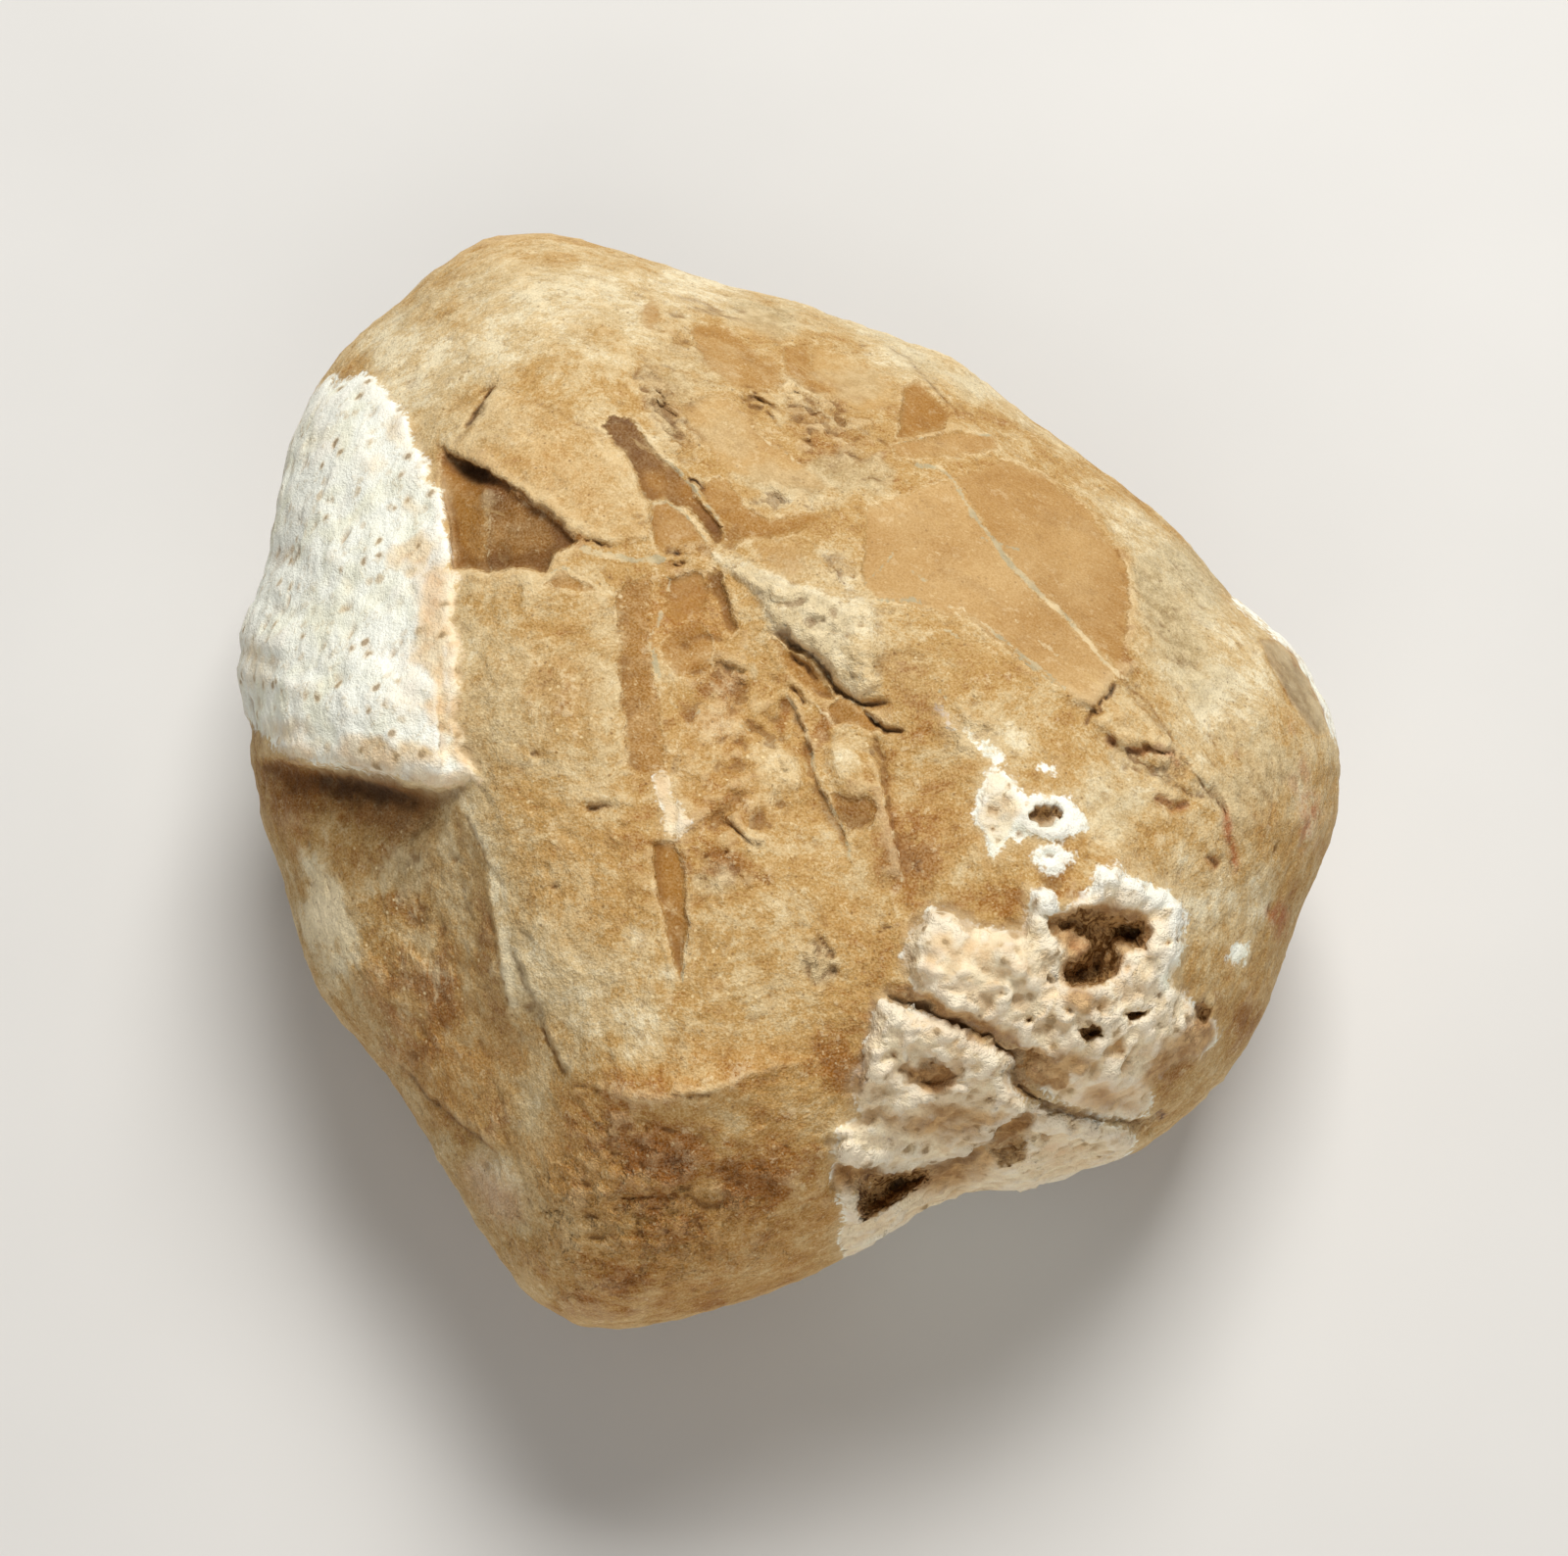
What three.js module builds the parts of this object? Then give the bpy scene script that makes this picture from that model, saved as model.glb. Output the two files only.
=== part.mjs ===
// Chert nodule: one river-worn stone, rounded at the edges, broken and hollowed on its upper face,
// with porous white rind left in a pad on the left and around crystal-lined hollows on the right.
// Millimetres, +Z up. It lies on a small flat spot; the origin is under the middle of its box.
import * as THREE from 'three';
import { mergeVertices } from 'three/addons/utils/BufferGeometryUtils.js';

// ------------------------------------------------------------------ driving dimensions
const UNIT = 7.8;               // outline units in a millimetre
const STATION = 340;            // mm, distance of the station the outline is seen from
const ELEVATION = 66;           // degrees, height of that station above the horizon
const CENTRE = [800, 800];      // middle of the outline, in outline units, y down
const AXIS = [800, 794];        // where the sight line meets the outline plane
const RIM_TILT = 16;            // degrees, how far the widest section leans to the sight line
const FLAT_CUT = 2.0;           // mm worn off the lowest point, which leaves the flat spot
const DETAIL = 20;              // facets along each edge of the starting icosahedron, less one

// Outline radii round the centre, every 4 degrees anticlockwise from +X.
const OUTLINE = [566, 566, 561, 547, 531, 509, 491, 482, 477, 470, 464, 457, 453, 450, 449, 453, 459, 466,
  468, 470, 474, 481, 490, 499, 512, 528, 549, 576, 604, 625, 635, 634, 631, 631, 630, 626,
  616, 603, 590, 577, 573, 574, 569, 554, 543, 538, 534, 525, 519, 519, 519, 518, 514, 508,
  502, 504, 512, 523, 535, 551, 568, 584, 591, 586, 571, 551, 534, 519, 505, 491, 481, 470,
  458, 455, 462, 477, 488, 501, 515, 523, 531, 536, 540, 542, 542, 540, 541, 546, 555, 563];

// Crown of the upper face over the widest section: position in outline units, height in mm.
const CROWN = [
  [450, 300, 40], [550, 285, 42], [680, 310, 41], [800, 345, 39],
  [380, 400, 40], [480, 400, 43], [560, 400, 44.5], [640, 400, 43], [740, 410, 40], [850, 420, 38], [950, 430, 38.5],
  [320, 500, 39.5], [420, 500, 40], [540, 470, 45], [620, 500, 44], [700, 470, 40.5], [780, 500, 40.5], [900, 500, 41], [1000, 500, 41.5], [1100, 530, 40.5],
  [290, 620, 38.5], [380, 600, 39.5], [460, 620, 42], [560, 640, 43.5], [640, 640, 42], [720, 620, 40.5], [800, 600, 43], [880, 620, 43.5], [980, 600, 43], [1080, 620, 42], [1160, 620, 40], [1250, 650, 39],
  [280, 720, 38.5], [380, 720, 40.5], [480, 720, 43], [580, 740, 44], [660, 740, 42.5], [740, 740, 42], [820, 720, 39.5], [900, 740, 41], [1000, 720, 43.5], [1100, 720, 43], [1200, 730, 40.5], [1300, 760, 39],
  [300, 860, 32.5], [390, 860, 32.5], [470, 850, 37], [540, 850, 43], [620, 850, 44], [700, 850, 42.5], [780, 840, 43], [860, 830, 41], [940, 830, 42], [1040, 830, 45], [1150, 830, 44], [1250, 850, 42],
  [340, 960, 32.5], [420, 970, 32], [500, 960, 37.5], [580, 960, 43], [680, 960, 43.5], [780, 960, 43.5], [880, 950, 43], [980, 970, 45], [1080, 970, 45], [1200, 970, 44], [1280, 960, 42],
  [420, 1080, 34], [500, 1080, 35.5], [570, 1080, 41], [660, 1080, 44], [760, 1080, 43], [860, 1080, 42], [950, 1090, 45], [1050, 1090, 45], [1150, 1090, 45],
  [520, 1200, 39], [600, 1200, 42], [700, 1200, 44], [800, 1200, 42.5], [900, 1200, 41], [1000, 1180, 42],
];
// Depth of the under side below the widest section, the same way.
const UNDER = [
  [800, 800, 36], [600, 800, 35.5], [1000, 800, 34], [800, 600, 36], [800, 1000, 32.5], [500, 550, 34], [1050, 550, 31],
  [480, 1000, 29], [1120, 1000, 29], [650, 1200, 29], [650, 320, 31], [330, 650, 30], [1280, 760, 30], [900, 950, 33.5], [700, 930, 34],
];
// Hollows (depth above zero) and swellings (below zero) of the upper face:
// centre, half-widths, turn in degrees anticlockwise, depth in mm.
const RELIEF = [
  { name: 'scoop under the rind pad', at: [365, 838], half: [105, 46], turn: -6, depth: 6.5 },
  { name: 'rind pad', at: [370, 600], half: [130, 230], turn: -12, depth: -1.6 },
  { name: 'wedge pocket', at: [520, 535], half: [92, 48], turn: -35, depth: 5.0 },
  { name: 'glassy strip', at: [672, 490], half: [95, 30], turn: -48, depth: 1.8 },
  { name: 'upright groove', at: [655, 760], half: [28, 170], turn: 0, depth: 1.6 },
  { name: 'crack under the ridge', at: [850, 690], half: [80, 26], turn: -30, depth: 2.6 },
  { name: 'upper rind lobe', at: [1085, 1005], half: [190, 140], turn: -25, depth: -2.4 },
  { name: 'lower rind lobe', at: [965, 1125], half: [150, 110], turn: -20, depth: -2.2 },
  { name: 'upper crystal hollow', at: [1125, 962], half: [62, 52], turn: 30, depth: 8.0 },
  { name: 'lower crystal hollow', at: [905, 1212], half: [48, 34], turn: 20, depth: 5.5 },
  { name: 'rind spot', at: [1050, 825], half: [75, 80], turn: 0, depth: -0.8 },
];

// ------------------------------------------------------------------ helpers
const rad = (d) => d * Math.PI / 180;
const clamp = (x, a, b) => Math.min(b, Math.max(a, x));
const step = (a, b, x) => { const t = clamp((x - a) / (b - a), 0, 1); return t * t * (3 - 2 * t); };

// Smooth closed curve through equally spaced values round the circle.
function cyclic(v, a) {
  const n = v.length;
  let x = a / (2 * Math.PI); x = (x - Math.floor(x)) * n;
  const i = Math.floor(x), f = x - i;
  const p0 = v[(i - 1 + n) % n], p1 = v[i % n], p2 = v[(i + 1) % n], p3 = v[(i + 2) % n];
  return p1 + 0.5 * f * (p2 - p0 + f * (2 * p0 - 5 * p1 + 4 * p2 - p3 + f * (3 * (p1 - p2) + p3 - p0)));
}

// The outline with only its slowest waves kept, for the middle of the faces.
function slowest(v, kept) {
  const n = v.length, out = new Array(n).fill(0);
  for (let k = 0; k <= kept; k++) {
    let re = 0, im = 0;
    for (let j = 0; j < n; j++) { re += v[j] * Math.cos(2 * Math.PI * k * j / n); im += v[j] * Math.sin(2 * Math.PI * k * j / n); }
    const s = (k === 0 ? 1 : 2) / n;
    for (let j = 0; j < n; j++) out[j] += s * (re * Math.cos(2 * Math.PI * k * j / n) + im * Math.sin(2 * Math.PI * k * j / n));
  }
  return out;
}

// Thin-plate surface through scattered heights.
function plate(points) {
  const n = points.length, m = n + 3, S = 200;
  const x = points.map((p) => p[0] / S), y = points.map((p) => p[1] / S);
  const u = (r2) => (r2 > 0 ? 0.5 * r2 * Math.log(r2) : 0);
  const A = [];
  for (let i = 0; i < m; i++) A.push(new Float64Array(m + 1));
  for (let i = 0; i < n; i++) {
    for (let j = 0; j < n; j++) A[i][j] = u((x[i] - x[j]) ** 2 + (y[i] - y[j]) ** 2);
    A[i][n] = A[n][i] = 1; A[i][n + 1] = A[n + 1][i] = x[i]; A[i][n + 2] = A[n + 2][i] = y[i];
    A[i][m] = points[i][2];
  }
  for (let c = 0; c < m; c++) {
    let p = c;
    for (let r = c + 1; r < m; r++) if (Math.abs(A[r][c]) > Math.abs(A[p][c])) p = r;
    [A[c], A[p]] = [A[p], A[c]];
    for (let r = c + 1; r < m; r++) {
      const f = A[r][c] / A[c][c];
      if (f !== 0) for (let k = c; k <= m; k++) A[r][k] -= f * A[c][k];
    }
  }
  const w = new Float64Array(m);
  for (let r = m - 1; r >= 0; r--) {
    let s = A[r][m];
    for (let k = r + 1; k < m; k++) s -= A[r][k] * w[k];
    w[r] = s / A[r][r];
  }
  return (px, py) => {
    const X = px / S, Y = py / S;
    let s = w[n] + w[n + 1] * X + w[n + 2] * Y;
    for (let i = 0; i < n; i++) s += w[i] * u((X - x[i]) ** 2 + (Y - y[i]) ** 2);
    return s;
  };
}

// ------------------------------------------------------------------ the stone
const crown = plate(CROWN), under = plate(UNDER), slow = slowest(OUTLINE, 4);
const SE = Math.sin(rad(ELEVATION)), CE = Math.cos(rad(ELEVATION)), tilt = Math.tan(rad(RIM_TILT));
const focal = STATION * UNIT;

// Depth along the sight line at a place in the outline, for the upper or the under face.
function depthAt(px, py, a, t, upper) {
  const r = Math.hypot(px - CENTRE[0], py - CENTRE[1]);
  const k = step(0.45, 1.0, t);
  const te = clamp((r / cyclic(slow, a)) * (1 - k) + t * k, 0, 1);
  const rim = -tilt * (AXIS[1] - py) / UNIT + t * t * (2.2 * Math.cos(2 * a - 0.6) + 1.4 * Math.sin(3 * a + 0.4));
  if (!upper) return rim - Math.sqrt(Math.max(0, 1 - te ** 2.4)) * under(px, py);
  const p = 3.0 + 0.5 * Math.cos(2 * (a - 2.6)) + 0.5 * Math.exp(-(Math.cos(a) ** 2 + (Math.sin(a) + 1) ** 2) / 0.3);
  const full = Math.sqrt(Math.max(0, 1 - te ** p));
  let w = rim + full * crown(px, py);
  for (const d of RELIEF) {
    const dx = px - d.at[0], dy = -(py - d.at[1]), c = Math.cos(rad(d.turn)), s = Math.sin(rad(d.turn));
    const q = ((dx * c + dy * s) / d.half[0]) ** 2 + ((-dx * s + dy * c) / d.half[1]) ** 2;
    if (q < 1) w -= d.depth * (1 - q) ** 2 * Math.min(1, full * 1.6);
  }
  return w;
}

const ball = new THREE.IcosahedronGeometry(1, DETAIL);
ball.deleteAttribute('normal');
ball.deleteAttribute('uv');
const geometry = mergeVertices(ball, 1e-5);
const position = geometry.getAttribute('position');
let lowest = Infinity;
for (let i = 0; i < position.count; i++) {
  const dx = position.getX(i), dy = position.getY(i), dz = clamp(position.getZ(i), -1, 1);
  const a = Math.atan2(dy, dx), t = Math.sqrt(Math.max(0, 1 - dz * dz)), R = cyclic(OUTLINE, a);
  const px = CENTRE[0] + R * t * Math.cos(a), py = CENTRE[1] - R * t * Math.sin(a);
  const w = depthAt(px, py, a, t, dz >= 0);
  const k = (STATION - w) / focal, x = (px - AXIS[0]) * k, y = (AXIS[1] - py) * k;
  const z = y * CE + w * SE;
  position.setXYZ(i, x, y * SE - w * CE, z);
  lowest = Math.min(lowest, z);
}
// The flat spot that it rests on.
const floor = lowest + FLAT_CUT;
for (let i = 0; i < position.count; i++) if (position.getZ(i) < floor) position.setZ(i, floor);
geometry.computeBoundingBox();
const box = geometry.boundingBox;
geometry.translate(-(box.min.x + box.max.x) / 2, -(box.min.y + box.max.y) / 2, -floor);
geometry.computeVertexNormals();

const stone = new THREE.MeshStandardMaterial({ color: 0xb08a57, roughness: 0.72, metalness: 0.0 });
const nodule = new THREE.Mesh(geometry, stone);
nodule.name = 'nodule';

const group = new THREE.Group();
group.add(nodule);
export default group;
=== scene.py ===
import math
import bpy
import numpy as np
from mathutils import Matrix


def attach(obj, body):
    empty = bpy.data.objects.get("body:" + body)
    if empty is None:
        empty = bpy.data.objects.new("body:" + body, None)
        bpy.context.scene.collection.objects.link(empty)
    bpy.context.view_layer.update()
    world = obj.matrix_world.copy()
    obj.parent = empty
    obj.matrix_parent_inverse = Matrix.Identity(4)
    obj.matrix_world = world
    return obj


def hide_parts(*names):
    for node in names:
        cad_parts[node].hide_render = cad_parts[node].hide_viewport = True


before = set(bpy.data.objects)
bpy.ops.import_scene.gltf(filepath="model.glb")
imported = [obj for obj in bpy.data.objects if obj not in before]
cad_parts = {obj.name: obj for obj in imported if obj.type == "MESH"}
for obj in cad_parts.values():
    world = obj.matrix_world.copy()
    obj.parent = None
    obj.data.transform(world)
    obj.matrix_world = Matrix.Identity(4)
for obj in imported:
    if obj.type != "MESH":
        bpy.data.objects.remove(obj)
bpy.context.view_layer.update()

# ====================================================================== frame of the view
# The upper face is laid out in outline units (1600 x 1588, y down), 7.8 units to a millimetre
# on the plane through the middle of the stone, seen from 340 mm away and 66 degrees up.
CX, CY = 800.0, 794.0
DIST, UNIT = 340.0, 7.8
FOCAL = DIST * UNIT
SE, CE = math.sin(math.radians(66.0)), math.cos(math.radians(66.0))
SHIFT = np.array([-0.108, -4.690, 31.874])      # to the middle of the box, on the floor
OC = (800.0, 800.0)
OUTLINE = [566, 566, 561, 547, 531, 509, 491, 482, 477, 470, 464, 457, 453, 450, 449, 453, 459, 466,
           468, 470, 474, 481, 490, 499, 512, 528, 549, 576, 604, 625, 635, 634, 631, 631, 630, 626,
           616, 603, 590, 577, 573, 574, 569, 554, 543, 538, 534, 525, 519, 519, 519, 518, 514, 508,
           502, 504, 512, 523, 535, 551, 568, 584, 591, 586, 571, 551, 534, 519, 505, 491, 481, 470,
           458, 455, 462, 477, 488, 501, 515, 523, 531, 536, 540, 542, 542, 540, 541, 546, 555, 563]
CROWN = [(450, 300, 40), (550, 285, 42), (680, 310, 41), (800, 345, 39),
         (380, 400, 40), (480, 400, 43), (560, 400, 44.5), (640, 400, 43), (740, 410, 40), (850, 420, 38), (950, 430, 38.5),
         (320, 500, 39.5), (420, 500, 40), (540, 470, 45), (620, 500, 44), (700, 470, 40.5), (780, 500, 40.5), (900, 500, 41), (1000, 500, 41.5), (1100, 530, 40.5),
         (290, 620, 38.5), (380, 600, 39.5), (460, 620, 42), (560, 640, 43.5), (640, 640, 42), (720, 620, 40.5), (800, 600, 43), (880, 620, 43.5), (980, 600, 43), (1080, 620, 42), (1160, 620, 40), (1250, 650, 39),
         (280, 720, 38.5), (380, 720, 40.5), (480, 720, 43), (580, 740, 44), (660, 740, 42.5), (740, 740, 42), (820, 720, 39.5), (900, 740, 41), (1000, 720, 43.5), (1100, 720, 43), (1200, 730, 40.5), (1300, 760, 39),
         (300, 860, 32.5), (390, 860, 32.5), (470, 850, 37), (540, 850, 43), (620, 850, 44), (700, 850, 42.5), (780, 840, 43), (860, 830, 41), (940, 830, 42), (1040, 830, 45), (1150, 830, 44), (1250, 850, 42),
         (340, 960, 32.5), (420, 970, 32), (500, 960, 37.5), (580, 960, 43), (680, 960, 43.5), (780, 960, 43.5), (880, 950, 43), (980, 970, 45), (1080, 970, 45), (1200, 970, 44), (1280, 960, 42),
         (420, 1080, 34), (500, 1080, 35.5), (570, 1080, 41), (660, 1080, 44), (760, 1080, 43), (860, 1080, 42), (950, 1090, 45), (1050, 1090, 45), (1150, 1090, 45),
         (520, 1200, 39), (600, 1200, 42), (700, 1200, 44), (800, 1200, 42.5), (900, 1200, 41), (1000, 1180, 42)]
UNDER = [(800, 800, 36), (600, 800, 35.5), (1000, 800, 34), (800, 600, 36), (800, 1000, 32.5), (500, 550, 34), (1050, 550, 31),
         (480, 1000, 29), (1120, 1000, 29), (650, 1200, 29), (650, 320, 31), (330, 650, 30), (1280, 760, 30), (900, 950, 33.5), (700, 930, 34)]
RIM_TILT = math.tan(math.radians(16.0))
FREQ = 99                                       # 20 * FREQ^2 triangles


# ====================================================================== small tools
def cyclic(vals, a):
    v = np.asarray(vals, float)
    n = len(v)
    x = (np.asarray(a) / (2 * math.pi)) % 1.0 * n
    i = np.floor(x).astype(int)
    f = x - i
    p0, p1, p2, p3 = v[(i - 1) % n], v[i % n], v[(i + 1) % n], v[(i + 2) % n]
    return p1 + 0.5 * f * (p2 - p0 + f * (2 * p0 - 5 * p1 + 4 * p2 - p3 + f * (3 * (p1 - p2) + p3 - p0)))


def hash3(ix, iy, iz, seed):
    with np.errstate(over='ignore'):
        n = (ix.astype(np.uint32) * np.uint32(374761393) + iy.astype(np.uint32) * np.uint32(668265263)
             + iz.astype(np.uint32) * np.uint32(1440662683) + np.uint32((seed * 974711 + 12345) & 0xffffffff))
        n = (n ^ (n >> np.uint32(13))) * np.uint32(1274126177)
        n = (n ^ (n >> np.uint32(16))) * np.uint32(2246822519)
        n = n ^ (n >> np.uint32(15))
    return (n & np.uint32(0xffffff)).astype(np.float64) / float(0xffffff)


def vnoise(x, y, z, seed=0):
    xi, yi, zi = [np.floor(v).astype(np.int64) for v in (x, y, z)]
    u = [t * t * t * (t * (t * 6 - 15) + 10) for t in (x - xi, y - yi, z - zi)]
    r = 0.0
    for dx in (0, 1):
        for dy in (0, 1):
            for dz in (0, 1):
                w = (u[0] if dx else 1 - u[0]) * (u[1] if dy else 1 - u[1]) * (u[2] if dz else 1 - u[2])
                r = r + hash3(xi + dx, yi + dy, zi + dz, seed) * w
    return r * 2 - 1


def fbm(x, y, z, octaves=4, seed=0, gain=0.5):
    a, s, t = 1.0, 0.0, 0.0
    z = z + np.zeros_like(x)
    for o in range(octaves):
        s = s + a * vnoise(x, y, z, seed + 17 * o)
        t += a
        x, y, z = x * 2.03 + 13.7, y * 2.03 + 5.1, z * 2.03 + 7.3
        a *= gain
    return s / t


def worley(p, seed=0, jitter=0.95, flat=False):
    """nearest and second distance, a random number for the nearest cell, and the offset from its middle"""
    pi = np.floor(p).astype(np.int64)
    n = len(p)
    f1 = np.full(n, 9.0)
    f2 = np.full(n, 9.0)
    ident = np.zeros(n)
    off = np.zeros((n, 3))
    for dx in (-1, 0, 1):
        for dy in (-1, 0, 1):
            for dz in ((0,) if flat else (-1, 0, 1)):
                c = pi + np.array([dx, dy, dz])
                q = np.stack([c[:, k] + 0.5 + (hash3(c[:, 0], c[:, 1], c[:, 2], seed + 3 * k) - 0.5) * jitter for k in range(3)], -1)
                if flat:
                    q[:, 2] = p[:, 2]
                v = p - q
                d = np.sqrt((v * v).sum(1))
                near = d < f1
                f2 = np.where(near, f1, np.minimum(f2, d))
                ident = np.where(near, hash3(c[:, 0], c[:, 1], c[:, 2], seed + 11), ident)
                off = np.where(near[:, None], v, off)
                f1 = np.where(near, d, f1)
    return f1, f2, ident, off


def sstep(a, b, x):
    t = np.clip((x - a) / (b - a), 0, 1)
    return t * t * (3 - 2 * t)


def pts(s):
    v = np.array([float(k) for k in s.split()])
    return v.reshape(-1, 2)


def poly_sd(px, py, p):
    n = len(p)
    best = np.full(px.shape, 1e18)
    inside = np.zeros(px.shape, bool)
    for i in range(n):
        x0, y0 = p[i]
        x1, y1 = p[(i + 1) % n]
        ex, ey = x1 - x0, y1 - y0
        t = np.clip(((px - x0) * ex + (py - y0) * ey) / max(ex * ex + ey * ey, 1e-9), 0, 1)
        best = np.minimum(best, (px - x0 - t * ex) ** 2 + (py - y0 - t * ey) ** 2)
        if y0 != y1:
            inside ^= ((y0 > py) != (y1 > py)) & (px < (x1 - x0) * (py - y0) / (y1 - y0) + x0)
    d = np.sqrt(best)
    return np.where(inside, -d, d)


def line_sd(px, py, p):
    """distance, side (+1 to the right going along it, y down) and share of the way along"""
    seg = np.hypot(*(p[1:] - p[:-1]).T)
    cum = np.r_[0, np.cumsum(seg)]
    best = np.full(px.shape, 1e18)
    side = np.ones(px.shape)
    along = np.zeros(px.shape)
    for i in range(len(p) - 1):
        x0, y0 = p[i]
        ex, ey = p[i + 1] - p[i]
        t = np.clip(((px - x0) * ex + (py - y0) * ey) / max(ex * ex + ey * ey, 1e-9), 0, 1)
        dx, dy = px - x0 - t * ex, py - y0 - t * ey
        d = dx * dx + dy * dy
        near = d < best
        best = np.where(near, d, best)
        side = np.where(near, np.where(ex * dy - ey * dx > 0, 1.0, -1.0), side)
        along = np.where(near, (cum[i] + t * seg[i]) / cum[-1], along)
    return np.sqrt(best), side, along


def plate(ctrl):
    c = np.asarray(ctrl, float)
    n = len(c)
    x, y, h = c[:, 0] / 200, c[:, 1] / 200, c[:, 2]

    def k(r2):
        return np.where(r2 > 0, 0.5 * r2 * np.log(np.maximum(r2, 1e-12)), 0)
    K = k((x[:, None] - x) ** 2 + (y[:, None] - y) ** 2)
    Q = np.c_[np.ones(n), x, y]
    s = np.linalg.solve(np.block([[K, Q], [Q.T, np.zeros((3, 3))]]), np.r_[h, 0, 0, 0])

    def f(px, py):
        px, py = px / 200, py / 200
        r = s[n] + s[n + 1] * px + s[n + 2] * py
        for i in range(n):
            r = r + s[i] * k((px - x[i]) ** 2 + (py - y[i]) ** 2)
        return r
    return f


def icosphere(n):
    g = (1 + 5 ** 0.5) / 2
    V = np.array([(-1, g, 0), (1, g, 0), (-1, -g, 0), (1, -g, 0), (0, -1, g), (0, 1, g), (0, -1, -g), (0, 1, -g),
                  (g, 0, -1), (g, 0, 1), (-g, 0, -1), (-g, 0, 1)], float)
    V /= np.linalg.norm(V[0])
    F = [(0, 11, 5), (0, 5, 1), (0, 1, 7), (0, 7, 10), (0, 10, 11), (1, 5, 9), (5, 11, 4), (11, 10, 2), (10, 7, 6), (7, 1, 8),
         (3, 9, 4), (3, 4, 2), (3, 2, 6), (3, 6, 8), (3, 8, 9), (4, 9, 5), (2, 4, 11), (6, 2, 10), (8, 6, 7), (9, 8, 1)]
    ij = [(i, j) for i in range(n + 1) for j in range(n + 1 - i)]
    at = {p: k for k, p in enumerate(ij)}
    I = np.array(ij, float)
    tri = []
    for i, j in ij:
        if i + j < n:
            tri.append((at[i, j], at[i + 1, j], at[i, j + 1]))
            if i + j < n - 1:
                tri.append((at[i + 1, j], at[i + 1, j + 1], at[i, j + 1]))
    tri = np.array(tri)
    allv, allf = [], []
    for k, (a, b, c) in enumerate(F):
        P = V[a] * (n - I[:, :1] - I[:, 1:2]) + V[b] * I[:, :1] + V[c] * I[:, 1:2]
        allv.append(P / np.linalg.norm(P, axis=1, keepdims=True))
        allf.append(tri + k * len(ij))
    P = np.concatenate(allv)
    Fc = np.concatenate(allf)
    key = np.round(P * 20000 + 0.137).astype(np.int64)
    _, first, inv = np.unique(key, axis=0, return_index=True, return_inverse=True)
    inv = inv.reshape(-1)
    if len(first) != 10 * n * n + 2:
        raise RuntimeError("the starting ball did not close: %d" % len(first))
    return P[first], inv[Fc]


# ====================================================================== base form
def slowest(vals, kept):
    f = np.fft.rfft(np.asarray(vals, float))
    f[kept + 1:] = 0
    return np.fft.irfft(f, len(vals))


SLOW = slowest(OUTLINE, 4)
crown_at, under_at = plate(CROWN), plate(UNDER)


def rim_depth(py, t, a):
    return -RIM_TILT * (CY - py) / UNIT + t * t * (2.2 * np.cos(2 * a - 0.6) + 1.4 * np.sin(3 * a + 0.4))


def to_world(px, py, w):
    k = (DIST - w) / FOCAL
    x, y = (px - CX) * k, (CY - py) * k
    return np.stack([x, y * SE - w * CE, y * CE + w * SE], -1) + SHIFT


D, FACES = icosphere(FREQ)
turn = Matrix.Rotation(0.37, 3, 'X') @ Matrix.Rotation(0.21, 3, 'Y')
D = D @ np.array(turn).T
ZC = -0.7                                       # share of the ball that becomes the upper face
up = D[:, 2] >= ZC
s = np.clip(np.where(up, (D[:, 2] - ZC) / (1 - ZC), (ZC - D[:, 2]) / (1 + ZC)), 0, 1)
T0 = np.sqrt(np.clip(1 - s ** 1.35, 0, 1))
ang = np.arctan2(D[:, 1], D[:, 0])
E = np.concatenate([FACES[:, [0, 1]], FACES[:, [1, 2]], FACES[:, [2, 0]]])
DEG = np.bincount(E[:, 0], minlength=len(D)).astype(float)


def outline_at(a):
    """radius of the outline, with the small unevenness of a worn edge"""
    wob = fbm(np.cos(a) * 9, np.sin(a) * 9, 0.0, 3, 5) * 2.2 + fbm(np.cos(a) * 34, np.sin(a) * 34, 0.0, 2, 6) * 0.9
    left = np.exp(-((np.cos(a - 2.92) - 1) / 0.035) ** 2)
    return cyclic(OUTLINE, a) + wob + left * fbm(np.cos(a) * 30, np.sin(a) * 30, 3.0, 3, 8) * 4.0


def base(px, py, upper):
    a = np.arctan2(OC[1] - py, px - OC[0])
    r = np.hypot(px - OC[0], py - OC[1])
    t = np.clip(r / outline_at(a), 0, 1)
    k = sstep(0.45, 1.0, t)
    te = np.clip(r / cyclic(SLOW, a) * (1 - k) + t * k, 0, 1)
    p = 3.0 + 0.5 * np.cos(2 * (a - 2.6)) + 0.5 * np.exp(-(np.cos(a) ** 2 + (np.sin(a) + 1) ** 2) / 0.3)
    full = np.sqrt(np.clip(1 - te ** np.where(upper, p, 2.4), 0, 1))
    w = rim_depth(py, t, a) + np.where(upper, full * crown_at(px, py), -full * under_at(px, py))
    return w, full


R0 = outline_at(ang)
PX = OC[0] + R0 * T0 * np.cos(ang)
PY = OC[1] - R0 * T0 * np.sin(ang)
NAMES = ['white', 'cream', 'brown_and_shade', 'pale_and_highlight', 'amber', 'tone', 'grey', 'red_and_shade', 'crack', 'hollow_and_shade', 'vein', 'pink', 'pits', 'smooth', 'crumb', 'fleck', 'gold', 'facet']
iu = np.nonzero(up)[0]


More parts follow.
